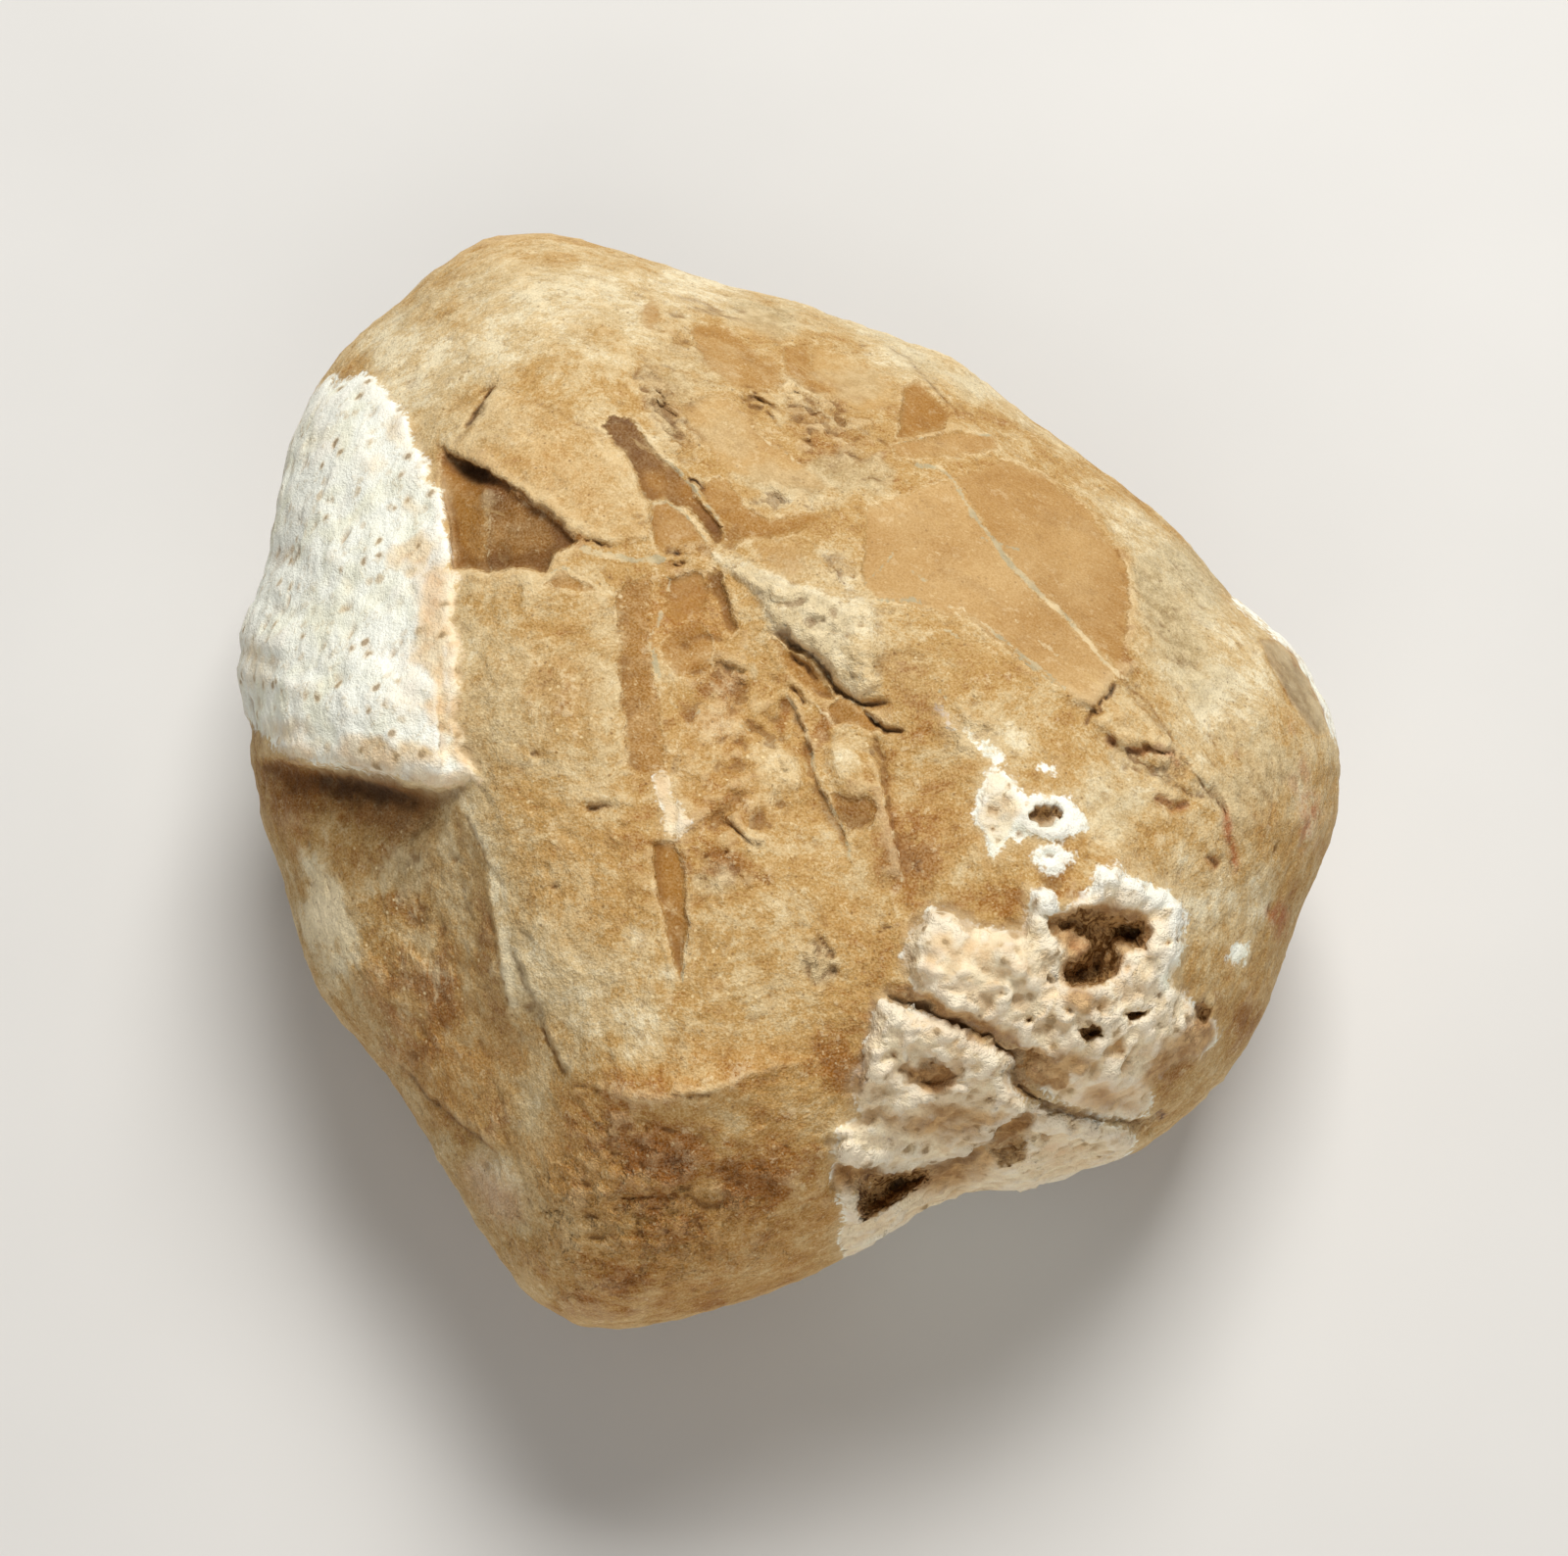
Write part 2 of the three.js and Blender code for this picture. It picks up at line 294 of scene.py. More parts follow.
# ====================================================================== the upper face's relief
def relief(X, Y, WB):
    """height added to the base form in mm, and the masks that the finish is mixed by"""
    NU = len(X)
    every = np.arange(NU)
    H = np.zeros(NU)
    wx = fbm(X / 15, Y / 15, 1.5, 3, 21)
    wy = fbm(X / 15, Y / 15, 9.5, 3, 22)
    soft30 = fbm(X / 30, Y / 30, 0.7, 3, 31)
    A = {n: np.zeros(NU) for n in NAMES}
    A['white'][:] = 40.0
    A['vein'][:] = 40.0
    A['tone'][:] = 0.5
    A['facet'][:] = 40.0

    def window(p, m):
        lo, hi = p.min(0) - m, p.max(0) + m
        return np.nonzero((X > lo[0]) & (X < hi[0]) & (Y > lo[1]) & (Y < hi[1]))[0]

    def area(s, m=40, rag=3.0):
        p = pts(s)
        i = window(p, m)
        return i, poly_sd(X[i] + wx[i] * rag, Y[i] + wy[i] * rag, p)

    def trace(s, m=40, rag=3.0):
        p = pts(s)
        i = window(p, m)
        d, sd, al = line_sd(X[i] + wx[i] * rag, Y[i] + wy[i] * rag, p)
        return i, d, sd, al

    def put(name, i, v):
        A[name][i] = np.maximum(A[name][i], v)

    def blob(name, cx, cy, rx, ry, turn, v=1.0, rag=0.3, hard=0.0):
        c, sn = math.cos(math.radians(turn)), math.sin(math.radians(turn))
        dx, dy = X - cx, -(Y - cy)
        q = np.sqrt(((dx * c + dy * sn) / rx) ** 2 + ((-dx * sn + dy * c) / ry) ** 2) + rag * soft30 * 1.2
        m = sstep(1.0, hard, q)
        if name:
            put(name, every, m * v)
        return m

    def ends(al, taper):
        return np.minimum(sstep(-0.02, taper, al), sstep(1.02, 1 - taper, al))

    def crack(s, width, depth, dark=1.0, rag=4.0, taper=0.15, gap=-2.0):
        i, d, sd, al = trace(s, 30, rag)
        e = ends(al, taper) * sstep(gap - 0.15, gap + 0.15, wy[i])
        wd = width * (0.40 + 0.7 * (0.5 + 0.5 * wx[i]))
        H[i] -= depth * np.exp(-(d / (wd * 1.2)) ** 2) * e
        put('crack', i, dark * np.exp(-(d / wd) ** 2) * e)

    def ledge(s, height, run, soft=1.6, rag=3.0, taper=0.15):
        """a step: the right-hand side of the line stands higher by height, dying away over run"""
        i, d, sd, al = trace(s, abs(run) * 2.0, rag)
        k = d * sd
        m = sstep(-soft, soft, k)
        H[i] += height * ends(al, taper) * m * np.exp(-np.maximum(k, 0) / run) * (1 - sstep(run * 0.8, run * 1.9, k))

    def facet(s, depth, tone, tilt=(0.0, 0.0), flat=0.6, rag=2.0, edge=1.6, calm=0.8, amber=1.0):
        """a broken face: flat, a little below what is round it"""
        i, sd = area(s, 25, rag)
        n = sd < 0
        cx, cy = X[i][n].mean(), Y[i][n].mean()
        gx, gy = (X[i] - cx) / 100, (Y[i] - cy) / 100
        q = np.c_[np.ones(n.sum()), gx[n], gy[n]]
        c = np.linalg.lstsq(q, (WB + H)[i][n], rcond=None)[0]
        plane = c[0] + c[1] * gx + c[2] * gy - depth + tilt[0] * gx + tilt[1] * gy
        H[i] += (plane - WB[i] - H[i]) * sstep(edge, -edge, sd) * flat
        j = i[(sd < A['facet'][i] * UNIT) & (sd < 9)]
        A['amber'][j] = amber
        A['tone'][j] = tone
        A['facet'][i] = np.minimum(A['facet'][i], sd / UNIT)
        k = sstep(3.0, -3.0, sd)
        A['smooth'][i] = np.maximum(A['smooth'][i] * (1 - k), calm * k)
        A['crumb'][i] *= 1 - 0.85 * k
        A['pale_and_highlight'][i] *= 1 - 0.7 * k * amber
        return i, sd

    def rind(s, rise, rag=3.5, soft=9.0):
        i, sd = area(s, 60, rag)
        A['white'][i] = np.minimum(A['white'][i], sd / UNIT)
        H[i] += rise * sstep(2.0, -soft, sd)
        return i, sd

    def vein(s, width, dip=0.15, rag=2.0, keep=-1.0, seed=0):
        i, d, sd, al = trace(s, 25, rag)
        gate = fbm(X[i] / 22, Y[i] / 22, seed * 3.1, 2, 40 + seed)
        d2 = d - width * 0.5 * (0.7 + 0.8 * wy[i]) + np.where(gate < keep, 6.0, 0.0)
        A['vein'][i] = np.minimum(A['vein'][i], d2 / UNIT)
        H[i] -= dip * np.exp(-(d / width) ** 2) * (gate >= keep)

    def pocket(s, depth, rag=2.5, soft_in=9.0, dark=1.0, rim=0.4, clear=True):
        i, sd = area(s, 40, rag)
        m = sstep(1.5, -soft_in, sd)
        H[i] -= depth * m
        H[i] += rim * np.exp(-((sd - 4) / 6) ** 2)
        put('hollow_and_shade', i, dark * sstep(1.5, -4.0, sd))
        if clear:
            A['white'][i] = np.maximum(A['white'][i], np.minimum((-sd - 1.5) / UNIT, 2.0))

    # ---- broad stains and worn places; some of the brown just under the pad's lip is painted shade, and the strong pale on the scoop's curled left edge is partly pale stone and partly painted light
    for name, cx, cy, rx, ry, tr, v in [
            ('brown_and_shade', 690, 1260, 260, 120, 8, 0.14), ('brown_and_shade', 780, 1190, 120, 66, 0, 0.6), ('brown_and_shade', 470, 1030, 50, 50, -20, 0.5), ('brown_and_shade', 700, 1180, 80, 44, 0, 0.7), ('brown_and_shade', 960, 720, 40, 60, -30, 0.7), ('brown_and_shade', 930, 690, 60, 40, -40, 0.5), ('brown_and_shade', 428, 1008, 90, 46, -12, 0.9), ('brown_and_shade', 440, 1060, 60, 50, -40, 0.4), ('brown_and_shade', 300, 830, 60, 26, -10, 0.5), ('brown_and_shade', 392, 836, 64, 24, -8, 0.9), ('brown_and_shade', 460, 975, 40, 26, -20, 0.4), ('brown_and_shade', 392, 1030, 40, 26, -40, 0.5), ('brown_and_shade', 490, 1130, 100, 70, -40, 0.4),
            ('brown_and_shade', 930, 880, 56, 70, 0, 1.0), ('brown_and_shade', 870, 815, 46, 40, 0, 0.5), ('brown_and_shade', 1275, 1050, 60, 90, 30, 0.5),
            ('brown_and_shade', 640, 1330, 190, 46, 8, 0.35), ('brown_and_shade', 745, 660, 50, 50, 0, 0.35), ('brown_and_shade', 1000, 912, 80, 24, -8, 0.6), ('brown_and_shade', 860, 1090, 46, 60, 0, 0.75),
            ('brown_and_shade', 290, 815, 60, 40, 0, 0.8), ('brown_and_shade', 960, 800, 60, 36, 40, 0.3), ('brown_and_shade', 560, 740, 80, 110, 0, 0.3), ('brown_and_shade', 760, 790, 60, 70, 0, 0.2), ('brown_and_shade', 930, 880, 46, 60, 0, 1.5), ('brown_and_shade', 432, 900, 60, 60, 0, 0.5), ('brown_and_shade', 745, 880, 60, 34, -15, 0.95), ('brown_and_shade', 735, 690, 46, 60, 0, 0.35), ('brown_and_shade', 400, 880, 90, 50, -15, 0.45),
            ('gold', 560, 470, 100, 70, -25, 0.8), ('gold', 560, 690, 95, 95, 0, 0.4), ('gold', 740, 800, 90, 130, 0, 0.45), ('gold', 600, 900, 80, 150, 0, 0.4),
            ('gold', 720, 1100, 200, 60, 5, 0.9), ('gold', 950, 840, 80, 80, 0, 0.6), ('gold', 1000, 560, 170, 120, -35, 0.6), ('gold', 700, 640, 70, 80, 0, 0.8),
            ('gold', 870, 940, 60, 60, 0, 0.4), ('gold', 640, 1200, 180, 110, 0, 1.3), ('gold', 1120, 850, 120, 60, -30, 0.4), ('gold', 470, 1080, 110, 110, -40, 1.0), ('gold', 700, 1270, 250, 110, 8, 1.3), ('gold', 780, 1180, 100, 80, 0, 0.8), ('gold', 430, 1010, 120, 90, 0, 0.8),
            ('pale_and_highlight', 560, 320, 230, 80, 20, 0.7), ('pale_and_highlight', 545, 445, 90, 50, -25, 0.55), ('pale_and_highlight', 1250, 690, 90, 110, 0, 0.8), ('pale_and_highlight', 420, 360, 90, 70, 40, 0.95), ('pale_and_highlight', 700, 290, 150, 40, -12, 0.7), ('pale_and_highlight', 960, 375, 330, 40, -31, 0.7),
            ('pale_and_highlight', 1190, 570, 190, 56, -47, 0.7), ('pale_and_highlight', 1270, 770, 120, 120, 0, 0.5), ('pale_and_highlight', 1150, 815, 110, 60, 0, 0.95), ('pale_and_highlight', 805, 490, 60, 26, -8, 1.2), ('pale_and_highlight', 510, 1200, 40, 60, 35, 0.65), ('pale_and_highlight', 316, 885, 34, 36, 10, 1.6), ('pale_and_highlight', 330, 935, 48, 66, 10, 2.9), ('pale_and_highlight', 346, 985, 30, 40, 0, 1.4), ('pale_and_highlight', 360, 925, 30, 40, 0, 0.6), ('pale_and_highlight', 1330, 820, 40, 60, 0, 0.9), ('gold', 330, 930, 60, 110, 0, 0.5), ('pale_and_highlight', 376, 905, 34, 18, 0, 0.8), ('pale_and_highlight', 424, 955, 44, 14, -20, 0.6), ('pale_and_highlight', 470, 1062, 34, 14, -30, 0.6), ('pale_and_highlight', 362, 975, 24, 34, 0, 0.9), ('pale_and_highlight', 452, 905, 26, 20, 10, 0.5), ('pale_and_highlight', 450, 1110, 60, 40, -40, 0.6), ('pale_and_highlight', 640, 1040, 70, 40, 0, 0.8),
            ('pale_and_highlight', 800, 506, 60, 24, -12, 0.8), ('pale_and_highlight', 648, 1072, 56, 26, 0, 1.0), ('pale_and_highlight', 682, 994, 26, 24, -50, 0.9), ('pale_and_highlight', 650, 958, 24, 16, -40, 0.7), ('pale_and_highlight', 1245, 905, 60, 80, 10, 1.15), ('pale_and_highlight', 780, 1020, 70, 40, 0, 0.6),
            ('pale_and_highlight', 790, 1010, 100, 60, 0, 0.25), ('pale_and_highlight', 1010, 740, 90, 40, -30, 0.4), ('pale_and_highlight', 600, 1000, 60, 60, 0, 0.3), ('pale_and_highlight', 854, 576, 40, 26, -30, 0.7), ('pale_and_highlight', 740, 745, 40, 28, 0, 0.5),
            ('pale_and_highlight', 785, 778, 52, 40, -30, 0.85), ('pale_and_highlight', 862, 770, 22, 24, 0, 0.6), ('pale_and_highlight', 735, 725, 36, 16, -10, 0.6), ('grey', 700, 590, 24, 30, 0, 0.6), ('grey', 830, 990, 50, 40, 0, 0.6), ('grey', 735, 900, 40, 30, 0, 0.7), ('pale_and_highlight', 500, 900, 14, 90, 12, 0.4),
            ('grey', 1285, 790, 80, 100, 0, 0.95), ('grey', 740, 440, 60, 36, -40, 0.85), ('grey', 870, 480, 90, 40, -10, 1.0), ('grey', 800, 490, 80, 34, 0, 1.0), ('pale_and_highlight', 800, 490, 60, 26, 0, 0.5), ('grey', 880, 395, 70, 40, -25, 1.0), ('brown_and_shade', 860, 400, 50, 30, -25, 0.35), ('brown_and_shade', 775, 335, 40, 20, -20, 0.3), ('grey', 690, 400, 50, 70, 20, 0.6), ('grey', 780, 320, 70, 30, -20, 0.9), ('grey', 850, 385, 60, 30, -25, 0.7), ('pale_and_highlight', 870, 485, 70, 30, -10, 0.4), ('grey', 870, 400, 50, 26, -30, 0.9), ('grey', 1150, 820, 90, 60, 0, 0.8), ('grey', 810, 495, 60, 26, -8, 0.9), ('grey', 1210, 580, 110, 60, -47, 0.95), ('grey', 1215, 690, 60, 60, 0, 0.7), ('grey', 790, 335, 50, 24, -20, 0.9), ('grey', 960, 380, 200, 26, -31, 0.6), ('grey', 325, 930, 50, 90, 0, 0.2), ('grey', 720, 898, 20, 14, 0, 1.0), ('grey', 834, 985, 30, 44, 20, 0.9), ('grey', 420, 890, 90, 46, -10, 0.7), ('grey', 740, 890, 60, 30, -10, 0.6),
            ('grey', 1190, 800, 50, 40, -30, 0.4), ('grey', 530, 1000, 20, 70, 12, 0.6), ('grey', 512, 568, 12, 14, 0, 0.8), ('grey', 676, 420, 20, 60, 30, 0.7), ('grey', 660, 380, 24, 30, 0, 0.7),
            ('grey', 769, 684, 10, 20, 0, 0.8), ('grey', 690, 780, 10, 20, 0, 0.6), ('grey', 775, 325, 30, 17, -20, 1.0), ('grey', 1160, 770, 60, 40, -30, 0.4), ('grey', 780, 930, 60, 40, 0, 0.4),
            ('fleck', 420, 960, 140, 190, -10, 1.0), ('fleck', 690, 1230, 200, 120, 5, 0.3), ('fleck', 560, 760, 130, 150, 0, 0.7), ('fleck', 690, 1000, 160, 100, 0, 0.7), ('fleck', 760, 800, 110, 120, 0, 0.7),
            ('crumb', 600, 330, 90, 56, 20, 0.35), ('crumb', 855, 430, 95, 36, -32, 1.0), ('crumb', 800, 506, 60, 24, -12, 0.8), ('crumb', 680, 425, 22, 60, 32, 1.0), ('crumb', 660, 380, 24, 26, 0, 0.7), ('crumb', 834, 985, 28, 40, 20, 0.7),
            ('crumb', 1180, 770, 90, 40, -42, 0.45), ('crumb', 500, 400, 40, 30, 40, 0.4), ('crumb', 690, 340, 40, 50, 0, 0.5), ('crumb', 680, 1230, 190, 120, 5, 0.28), ('crumb', 640, 1150, 90, 40, 0, 0.3), ('crumb', 420, 950, 130, 170, -10, 0.2),
            ('crumb', 740, 885, 50, 30, -20, 0.5), ('crumb', 985, 740, 40, 40, 0, 0.4), ('crumb', 854, 576, 40, 24, -30, 0.8), ('crumb', 655, 690, 16, 90, 0, 0.5), ('crumb', 735, 690, 50, 40, 0, 0.5),
            ('pits', 665, 1245, 190, 110, 8, 1.0), ('pits', 640, 1165, 80, 40, 0, 0.45), ('pits', 620, 1315, 120, 26, 5, 0.5)]:
        blob(name, cx, cy, rx, ry, tr, v, 0.4)
    blob('pink', 505, 1215, 34, 60, 35, 1.1, 0.3)
    blob('pink', 380, 798, 46, 12, -8, 0.6, 0.3)
    blob('pink', 438, 600, 26, 70, 0, 0.8, 0.4)
    blob('pink', 330, 450, 40, 30, 0, 0.3, 0.4)
    blob('pink', 420, 700, 30, 60, 0, 0.5, 0.4)
    blob('pink', 730, 740, 40, 30, 0, 0.35, 0.3)
    blob('red_and_shade', 400, 1050, 30, 60, 30, 0.3, 0.6)
    blob('red_and_shade', 380, 1010, 30, 50, 20, 0.3, 0.6)
    blob('red_and_shade', 300, 850, 20, 50, 10, 0.3, 0.5)

    def level(s, flat, soft, tilt=(0.0, 0.0)):
        """a broad even face with a soft brink"""
        i, sd = area(s, 40, 6.0)
        n = sd < 0
        cx, cy = X[i][n].mean(), Y[i][n].mean()
        gx, gy = (X[i] - cx) / 100, (Y[i] - cy) / 100
        c = np.linalg.lstsq(np.c_[np.ones(n.sum()), gx[n], gy[n]], (WB + H)[i][n], rcond=None)[0]
        H[i] += np.minimum(c[0] + (c[1] + tilt[0]) * gx + (c[2] + tilt[1]) * gy - WB[i] - H[i], 0.25) * sstep(soft, -soft, sd) * flat

    level("472 600 632 612 640 780 660 900 690 1010 700 1060 640 1100 582 1102 548 1030 520 960 505 900 484 850 472 800", 0.4, 16)
    level("640 600 720 590 800 690 830 780 860 860 830 940 760 930 705 860 680 780 664 660", 0.45, 12, (0, 0.4))
    level("960 640 1060 692 1116 730 1200 792 1240 842 1200 880 1100 862 1000 780 940 720", 0.45, 14)
    level("700 880 830 940 900 960 890 1040 850 1080 740 1100 700 1060", 0.5, 9)
    level("575 1112 700 1130 745 1108 850 1090 862 1200 800 1290 640 1350 560 1300 540 1200", 0.5, 14)
    level("1150 560 1260 640 1330 740 1300 860 1250 840 1200 752 1150 690", 0.35, 20)
    i, d, sdd, al = trace("569 1098 616 1113 680 1121 720 1115 760 1097 843 1078", 110, 6.0)
    H[i] += ends(al, 0.2) * 1.3 * np.exp(-d / 24)

    # ---- rind pad on the left: it stands out to a sharp lower edge over the scoop
    i, sd = rind(PAD, 0.9)
    pad = sstep(4, -12, sd)
    put('cream', i, 0.95 * sstep(-26, -4, sd) * sstep(540, 600, Y[i]) * sstep(400, 430, X[i]))
    H[i] += pad * (fbm(X[i] / 70, Y[i] / 70, 2.0, 3, 51) * 0.9 + fbm(X[i] / 26, Y[i] / 26, 4.0, 3, 52) * 0.5)
    i, d, sdd, al = trace("236 758 265 771 295 779 324 783 362 783 388 790 417 803 451 807 489 799", 190, 2.0)
    k = d * sdd
    e = sstep(-0.02, 0.10, al) * sstep(1.0, 0.72, al)
    H[i] += 4.6 * e * sstep(-130, -5, k) * (1 - sstep(-4, 4, k))
    i, d, sdd, al = trace("240 764 265 776 300 785 345 790 380 796 415 807 440 812 470 816", 140, 3.0)
    k = d * sdd
    e = sstep(-0.02, 0.30, al) * sstep(1.0, 0.80, al)
    low = sstep(-4, 5, k) * e
    reach = 16 + 18 * np.exp(-((al - 0.60) / 0.22) ** 2)
    H[i] -= low * 2.0 * np.exp(-(k / (reach * 1.3)) ** 2)
    # painted shadow: a dark band and brown just below the pad's lip, where its overhang throws shade
    put('crack', i, low * 0.95 * np.exp(-((k - 8) / reach) ** 2) * np.clip(0.35 + 0.65 * np.exp(-((al - 0.58) / 0.24) ** 2) + 0.5 * wx[i], 0, 1))
    put('brown_and_shade', i, low * 0.9 * np.exp(-(k / 55) ** 2))
    # crest between the scoop and the main face, with a painted highlight just on the main face's side of it and painted
    # shade on the scoop's side
    i, d, sdd, al = trace("452 806 468 822 482 847 492 868 499 892 504 925 508 960 512 995 519 1031 530 1060", 120, 4.0)
    k = d * sdd
    e = ends(al, 0.2)
    H[i] += e * 2.6 * np.where(k > 0, np.exp(-np.maximum(k, 0) / 26), np.exp(np.minimum(k, 0) / 40))
    put('pale_and_highlight', i, e * 0.5 * np.exp(-((k + 5) / 7) ** 2))
    put('brown_and_shade', i, e * 0.6 * np.where(k > 0, np.exp(-((k - 10) / 16) ** 2), 0))
    crack("498 925 505 960 512 1000 519 1032", 2.0, 0.5, 0.5)
    crack("470 828 486 856 498 884", 2.2, 0.5, 0.4)
    crack("521 965 534 998 547 1028 563 1070 580 1105", 2.0, 0.4, 0.3, 7)
    crack("552 1046 562 1066 579 1101", 2.4, 0.6, 0.5)
    ledge("580 1108 562 1068 546 1026 522 964", 0.8, 40, 4.0, 5)
    crack("409 1086 438 1120 476 1150 512 1177", 2.6, 0.8, 0.7)
    ledge("512 1178 476 1152 438 1122 409 1088", 1.1, 60, 2.5)
    for a_, b_ in [(302, 915), (310, 900), (322, 888)]:
        crack("%d %d %d %d %d %d" % (a_, b_, a_ + 14, b_ + 8, a_ + 30, b_ + 4), 1.8, 0.4, 0.4)

    # ---- wedge pocket under the upper left block
    facet("450 464 461 472 499 491 497 554 501 583 461 580 460 540 452 505", 1.7, 0.62, (1.5, -2.6), 0.85, 4.0, 2.4, 0.5, 0.9)
    facet("494 487 537 511 572 535 590 553 568 565 558 583 523 580 512 584 495 584", 1.9, 0.84, (-0.6, -2.2), 0.85, 4.0, 2.4, 0.4, 0.9)
    i, d, sdd, al = trace("446 446 461 464 502 483 537 504 572 529 592 546 624 556", 60, 4.0)
    k = d * sdd
    e = sstep(-0.02, 0.10, al) * sstep(1.0, 0.70, al)
    deep = np.exp(-((al - 0.24) / 0.13) ** 2)
    wide = 4 + 11 * deep
    H[i] -= e * sstep(-2.0, 2.5, k) * (0.8 + 2.2 * deep) * np.exp(-(k / (wide * 1.4)) ** 2)
    # painted shadow: dark and brown under the block's overhanging lower edge, darkest where the pocket is deepest
    put('crack', i, e * (0.5 + 0.6 * deep) * sstep(-1.0, 2.0, k) * np.exp(-((k - 2.5) / (wide * (0.8 + 0.5 * deep))) ** 2))
    put('brown_and_shade', i, 0.8 * e * sstep(-1, 2, k) * np.exp(-(k / 26) ** 2))
    H[i] += e * 0.4 * sstep(-26, -2, k) * (k < 0)
    facet("464 458 486 432 506 400 540 408 592 434 620 443 627 450 648 481 662 509 662 547 624 555 592 546 572 529 537 504 502 483", 0.05, 0.04, (0, 0.3), 0.2, 3.0, 3.0, 0.0, 0.25)
    crack("505 390 495 408 482 426 474 441", 3.0, 1.1, 0.85)
    crack("474 441 462 455", 2.0, 0.5, 0.5)
    ledge("474 444 484 426 506 390", 0.5, 26)
    crack("540 407 566 420 592 433 618 443", 1.5, 0.35, 0.45)
    crack("596 550 610 555 624 557", 2.0, 0.8, 0.9)
    crack("676 565 686 567 696 565", 2.2, 0.9, 0.95)
    crack("684 577 692 578 700 576", 2.2, 0.9, 0.95)
    for a_, b_, c_, e_ in [(636, 493, 648, 493), (644, 526, 662, 527), (640, 549, 655, 550), (650, 536, 660, 530)]:
        crack("%d %d %d %d" % (a_, b_, c_, e_), 1.3, 0.3, 0.5)
    ledge("461 584 502 588 534 581 554 590 575 579 592 586 613 602 634 609", 0.8, 30, 1.8, 3.0)
    facet("554 599 575 582 610 603 592 604", 0.4, 0.5, (0, -1), 0.7, 4, 2.2, 0.4, 0.7)
    vein("494 516 497 536 499 558 500 582", 1.0, 0.1, 2.0, -0.1, 11)
    blob('tone', 548, 550, 26, 10, -30, 0.8, 0.4)
    facet("502 556 512 552 522 560 520 580 506 582", 0.3, 0.3, (0, 0), 0.6, 2, 1.6, 0.6, 0.7)
    vein("461 584 502 588 534 581 554 590 575 579 592 586 613 602 634 609", 1.8, 0.0, 3.0, -0.1, 12)
    vein("592 560 616 566 640 570 664 572 690 572", 9.0, 0.0, 5.0, -0.15, 13)

    # ---- glassy strip and the broken upper right
    facet("613 433 627 422 641 426 651 436 665 457 679 471 690 479 703 495 717 513 731 530 738 541 738 552 731 553 717 534 703 518 690 514 679 510 665 513 656 506 648 481 636 460 627 450", 0.8, 0.74, (1.2, -1.8), 0.85, 4.0, 2.2, 0.6, 0.95)
    i, d, sdd, al = trace("613 433 627 424 645 428", 20, 2)
    A['tone'][i] = np.maximum(A['tone'][i], 1.0 * np.exp(-(d / 12) ** 2))
    vein("648 429 669 460 690 478 714 505 735 533 742 552", 3.2, -0.25, 2.0, -0.6, 1)
    facet("665 513 679 511 696 523 710 537 726 561 728 571 690 564 672 562 665 547 663 523", 0.2, 0.56, (0.3, 0.5), 0.6, 1.5, 1.6, 0.7, 0.8)
    vein("664 530 666 514 680 510 698 523 712 538 727 562 730 572", 2.6, -0.15, 1.6, -0.8, 2)
    facet("717 499 728 488 745 488 752 499 759 512 773 526 787 530 807 526 839 525 845 530 821 540 787 549 766 549 752 554 745 564 738 558 735 532", 0.5, 0.56, (0.4, -1.0), 0.7, 5.0, 2.4, 0.5, 0.8)
    crack("702 489 710 493 718 500", 2.6, 0.9, 0.9)
    facet("652 330 656 312 664 302 672 312 674 326 664 340", 0.4, 0.4, (0, 0), 0.7, 4, 2.0, 0.6, 0.6)
    facet("697 412 720 404 735 405 752 419 787 450 821 474 849 495 821 500 780 494 745 481 721 457 700 433", 0.3, 0.16, (0, 0.6), 0.6, 3, 2.5, 0.5, 0.55)
    vein("759 428 787 453 825 478", 1.6, -0.1, 2.0, -0.5, 16)
    al_, ac_ = X * 0.73 + Y * 0.68, -X * 0.68 + Y * 0.73
    band = blob(None, 690, 425, 95, 30, -55, 1.0, 0.35, 0.2)
    H += band * (fbm(al_ / 60, ac_ / 8, 0.5, 3, 61) * 0.35)
    ledge("640 345 648 385 662 420 690 456", 0.4, 26, 2)
    crack("650 372 656 400 668 424 688 452", 1.6, 0.4, 0.4, 4, 0.15, -0.3)
    facet("766 549 787 549 814 552 823 582 807 590 787 582", 0.2, 0.3, (0, 0.4), 0.6, 3, 2, 0.5, 0.5)
    facet("700 336 712 330 747 340 796 372 798 394 770 404 747 394 722 374", 0.4, 0.34, (0.3, 0.4), 0.75, 6.0, 2.0, 0.6, 0.6)
    i, d, sdd, al = trace("702 334 728 336 752 350 766 366", 30, 3)
    A['tone'][i] = np.maximum(A['tone'][i], 0.6 * np.exp(-(d / 10) ** 2))
    facet("747 320 768 312 796 326 798 342 776 348 752 340", 0.2, 0.1, (0, 0), 0.6, 3, 2, 0.6, 0.2)
    facet("828 352 868 366 914 391 910 414 880 422 850 404 830 384", 0.3, 0.14, (0.3, 0.3), 0.75, 2, 2, 0.7, 0.4)
    facet("800 352 826 352 830 384 848 402 822 398 800 384", 0.5, 0.36, (-0.4, 0), 0.7, 3, 2, 0.6, 0.7)
    facet("923 394 937 388 969 423 963 438 917 447", 0.7, 0.52, (0.9, -1.2), 0.85, 2.0, 1.6, 0.7, 0.9)
    facet("911 453 978 440 1014 446 1018 458 983 464 914 467", 0.5, 0.30, (0, 0.8), 0.8, 1.5, 1.6, 0.6, 0.85)
    vein("914 452 950 444 978 439 1010 444", 1.8, -0.15, 1.5, -0.6, 24)
    crack("903 353 928 368 945 388 962 404 980 424", 1.6, 0.5, 0.6, 3, 0.1, -0.35)
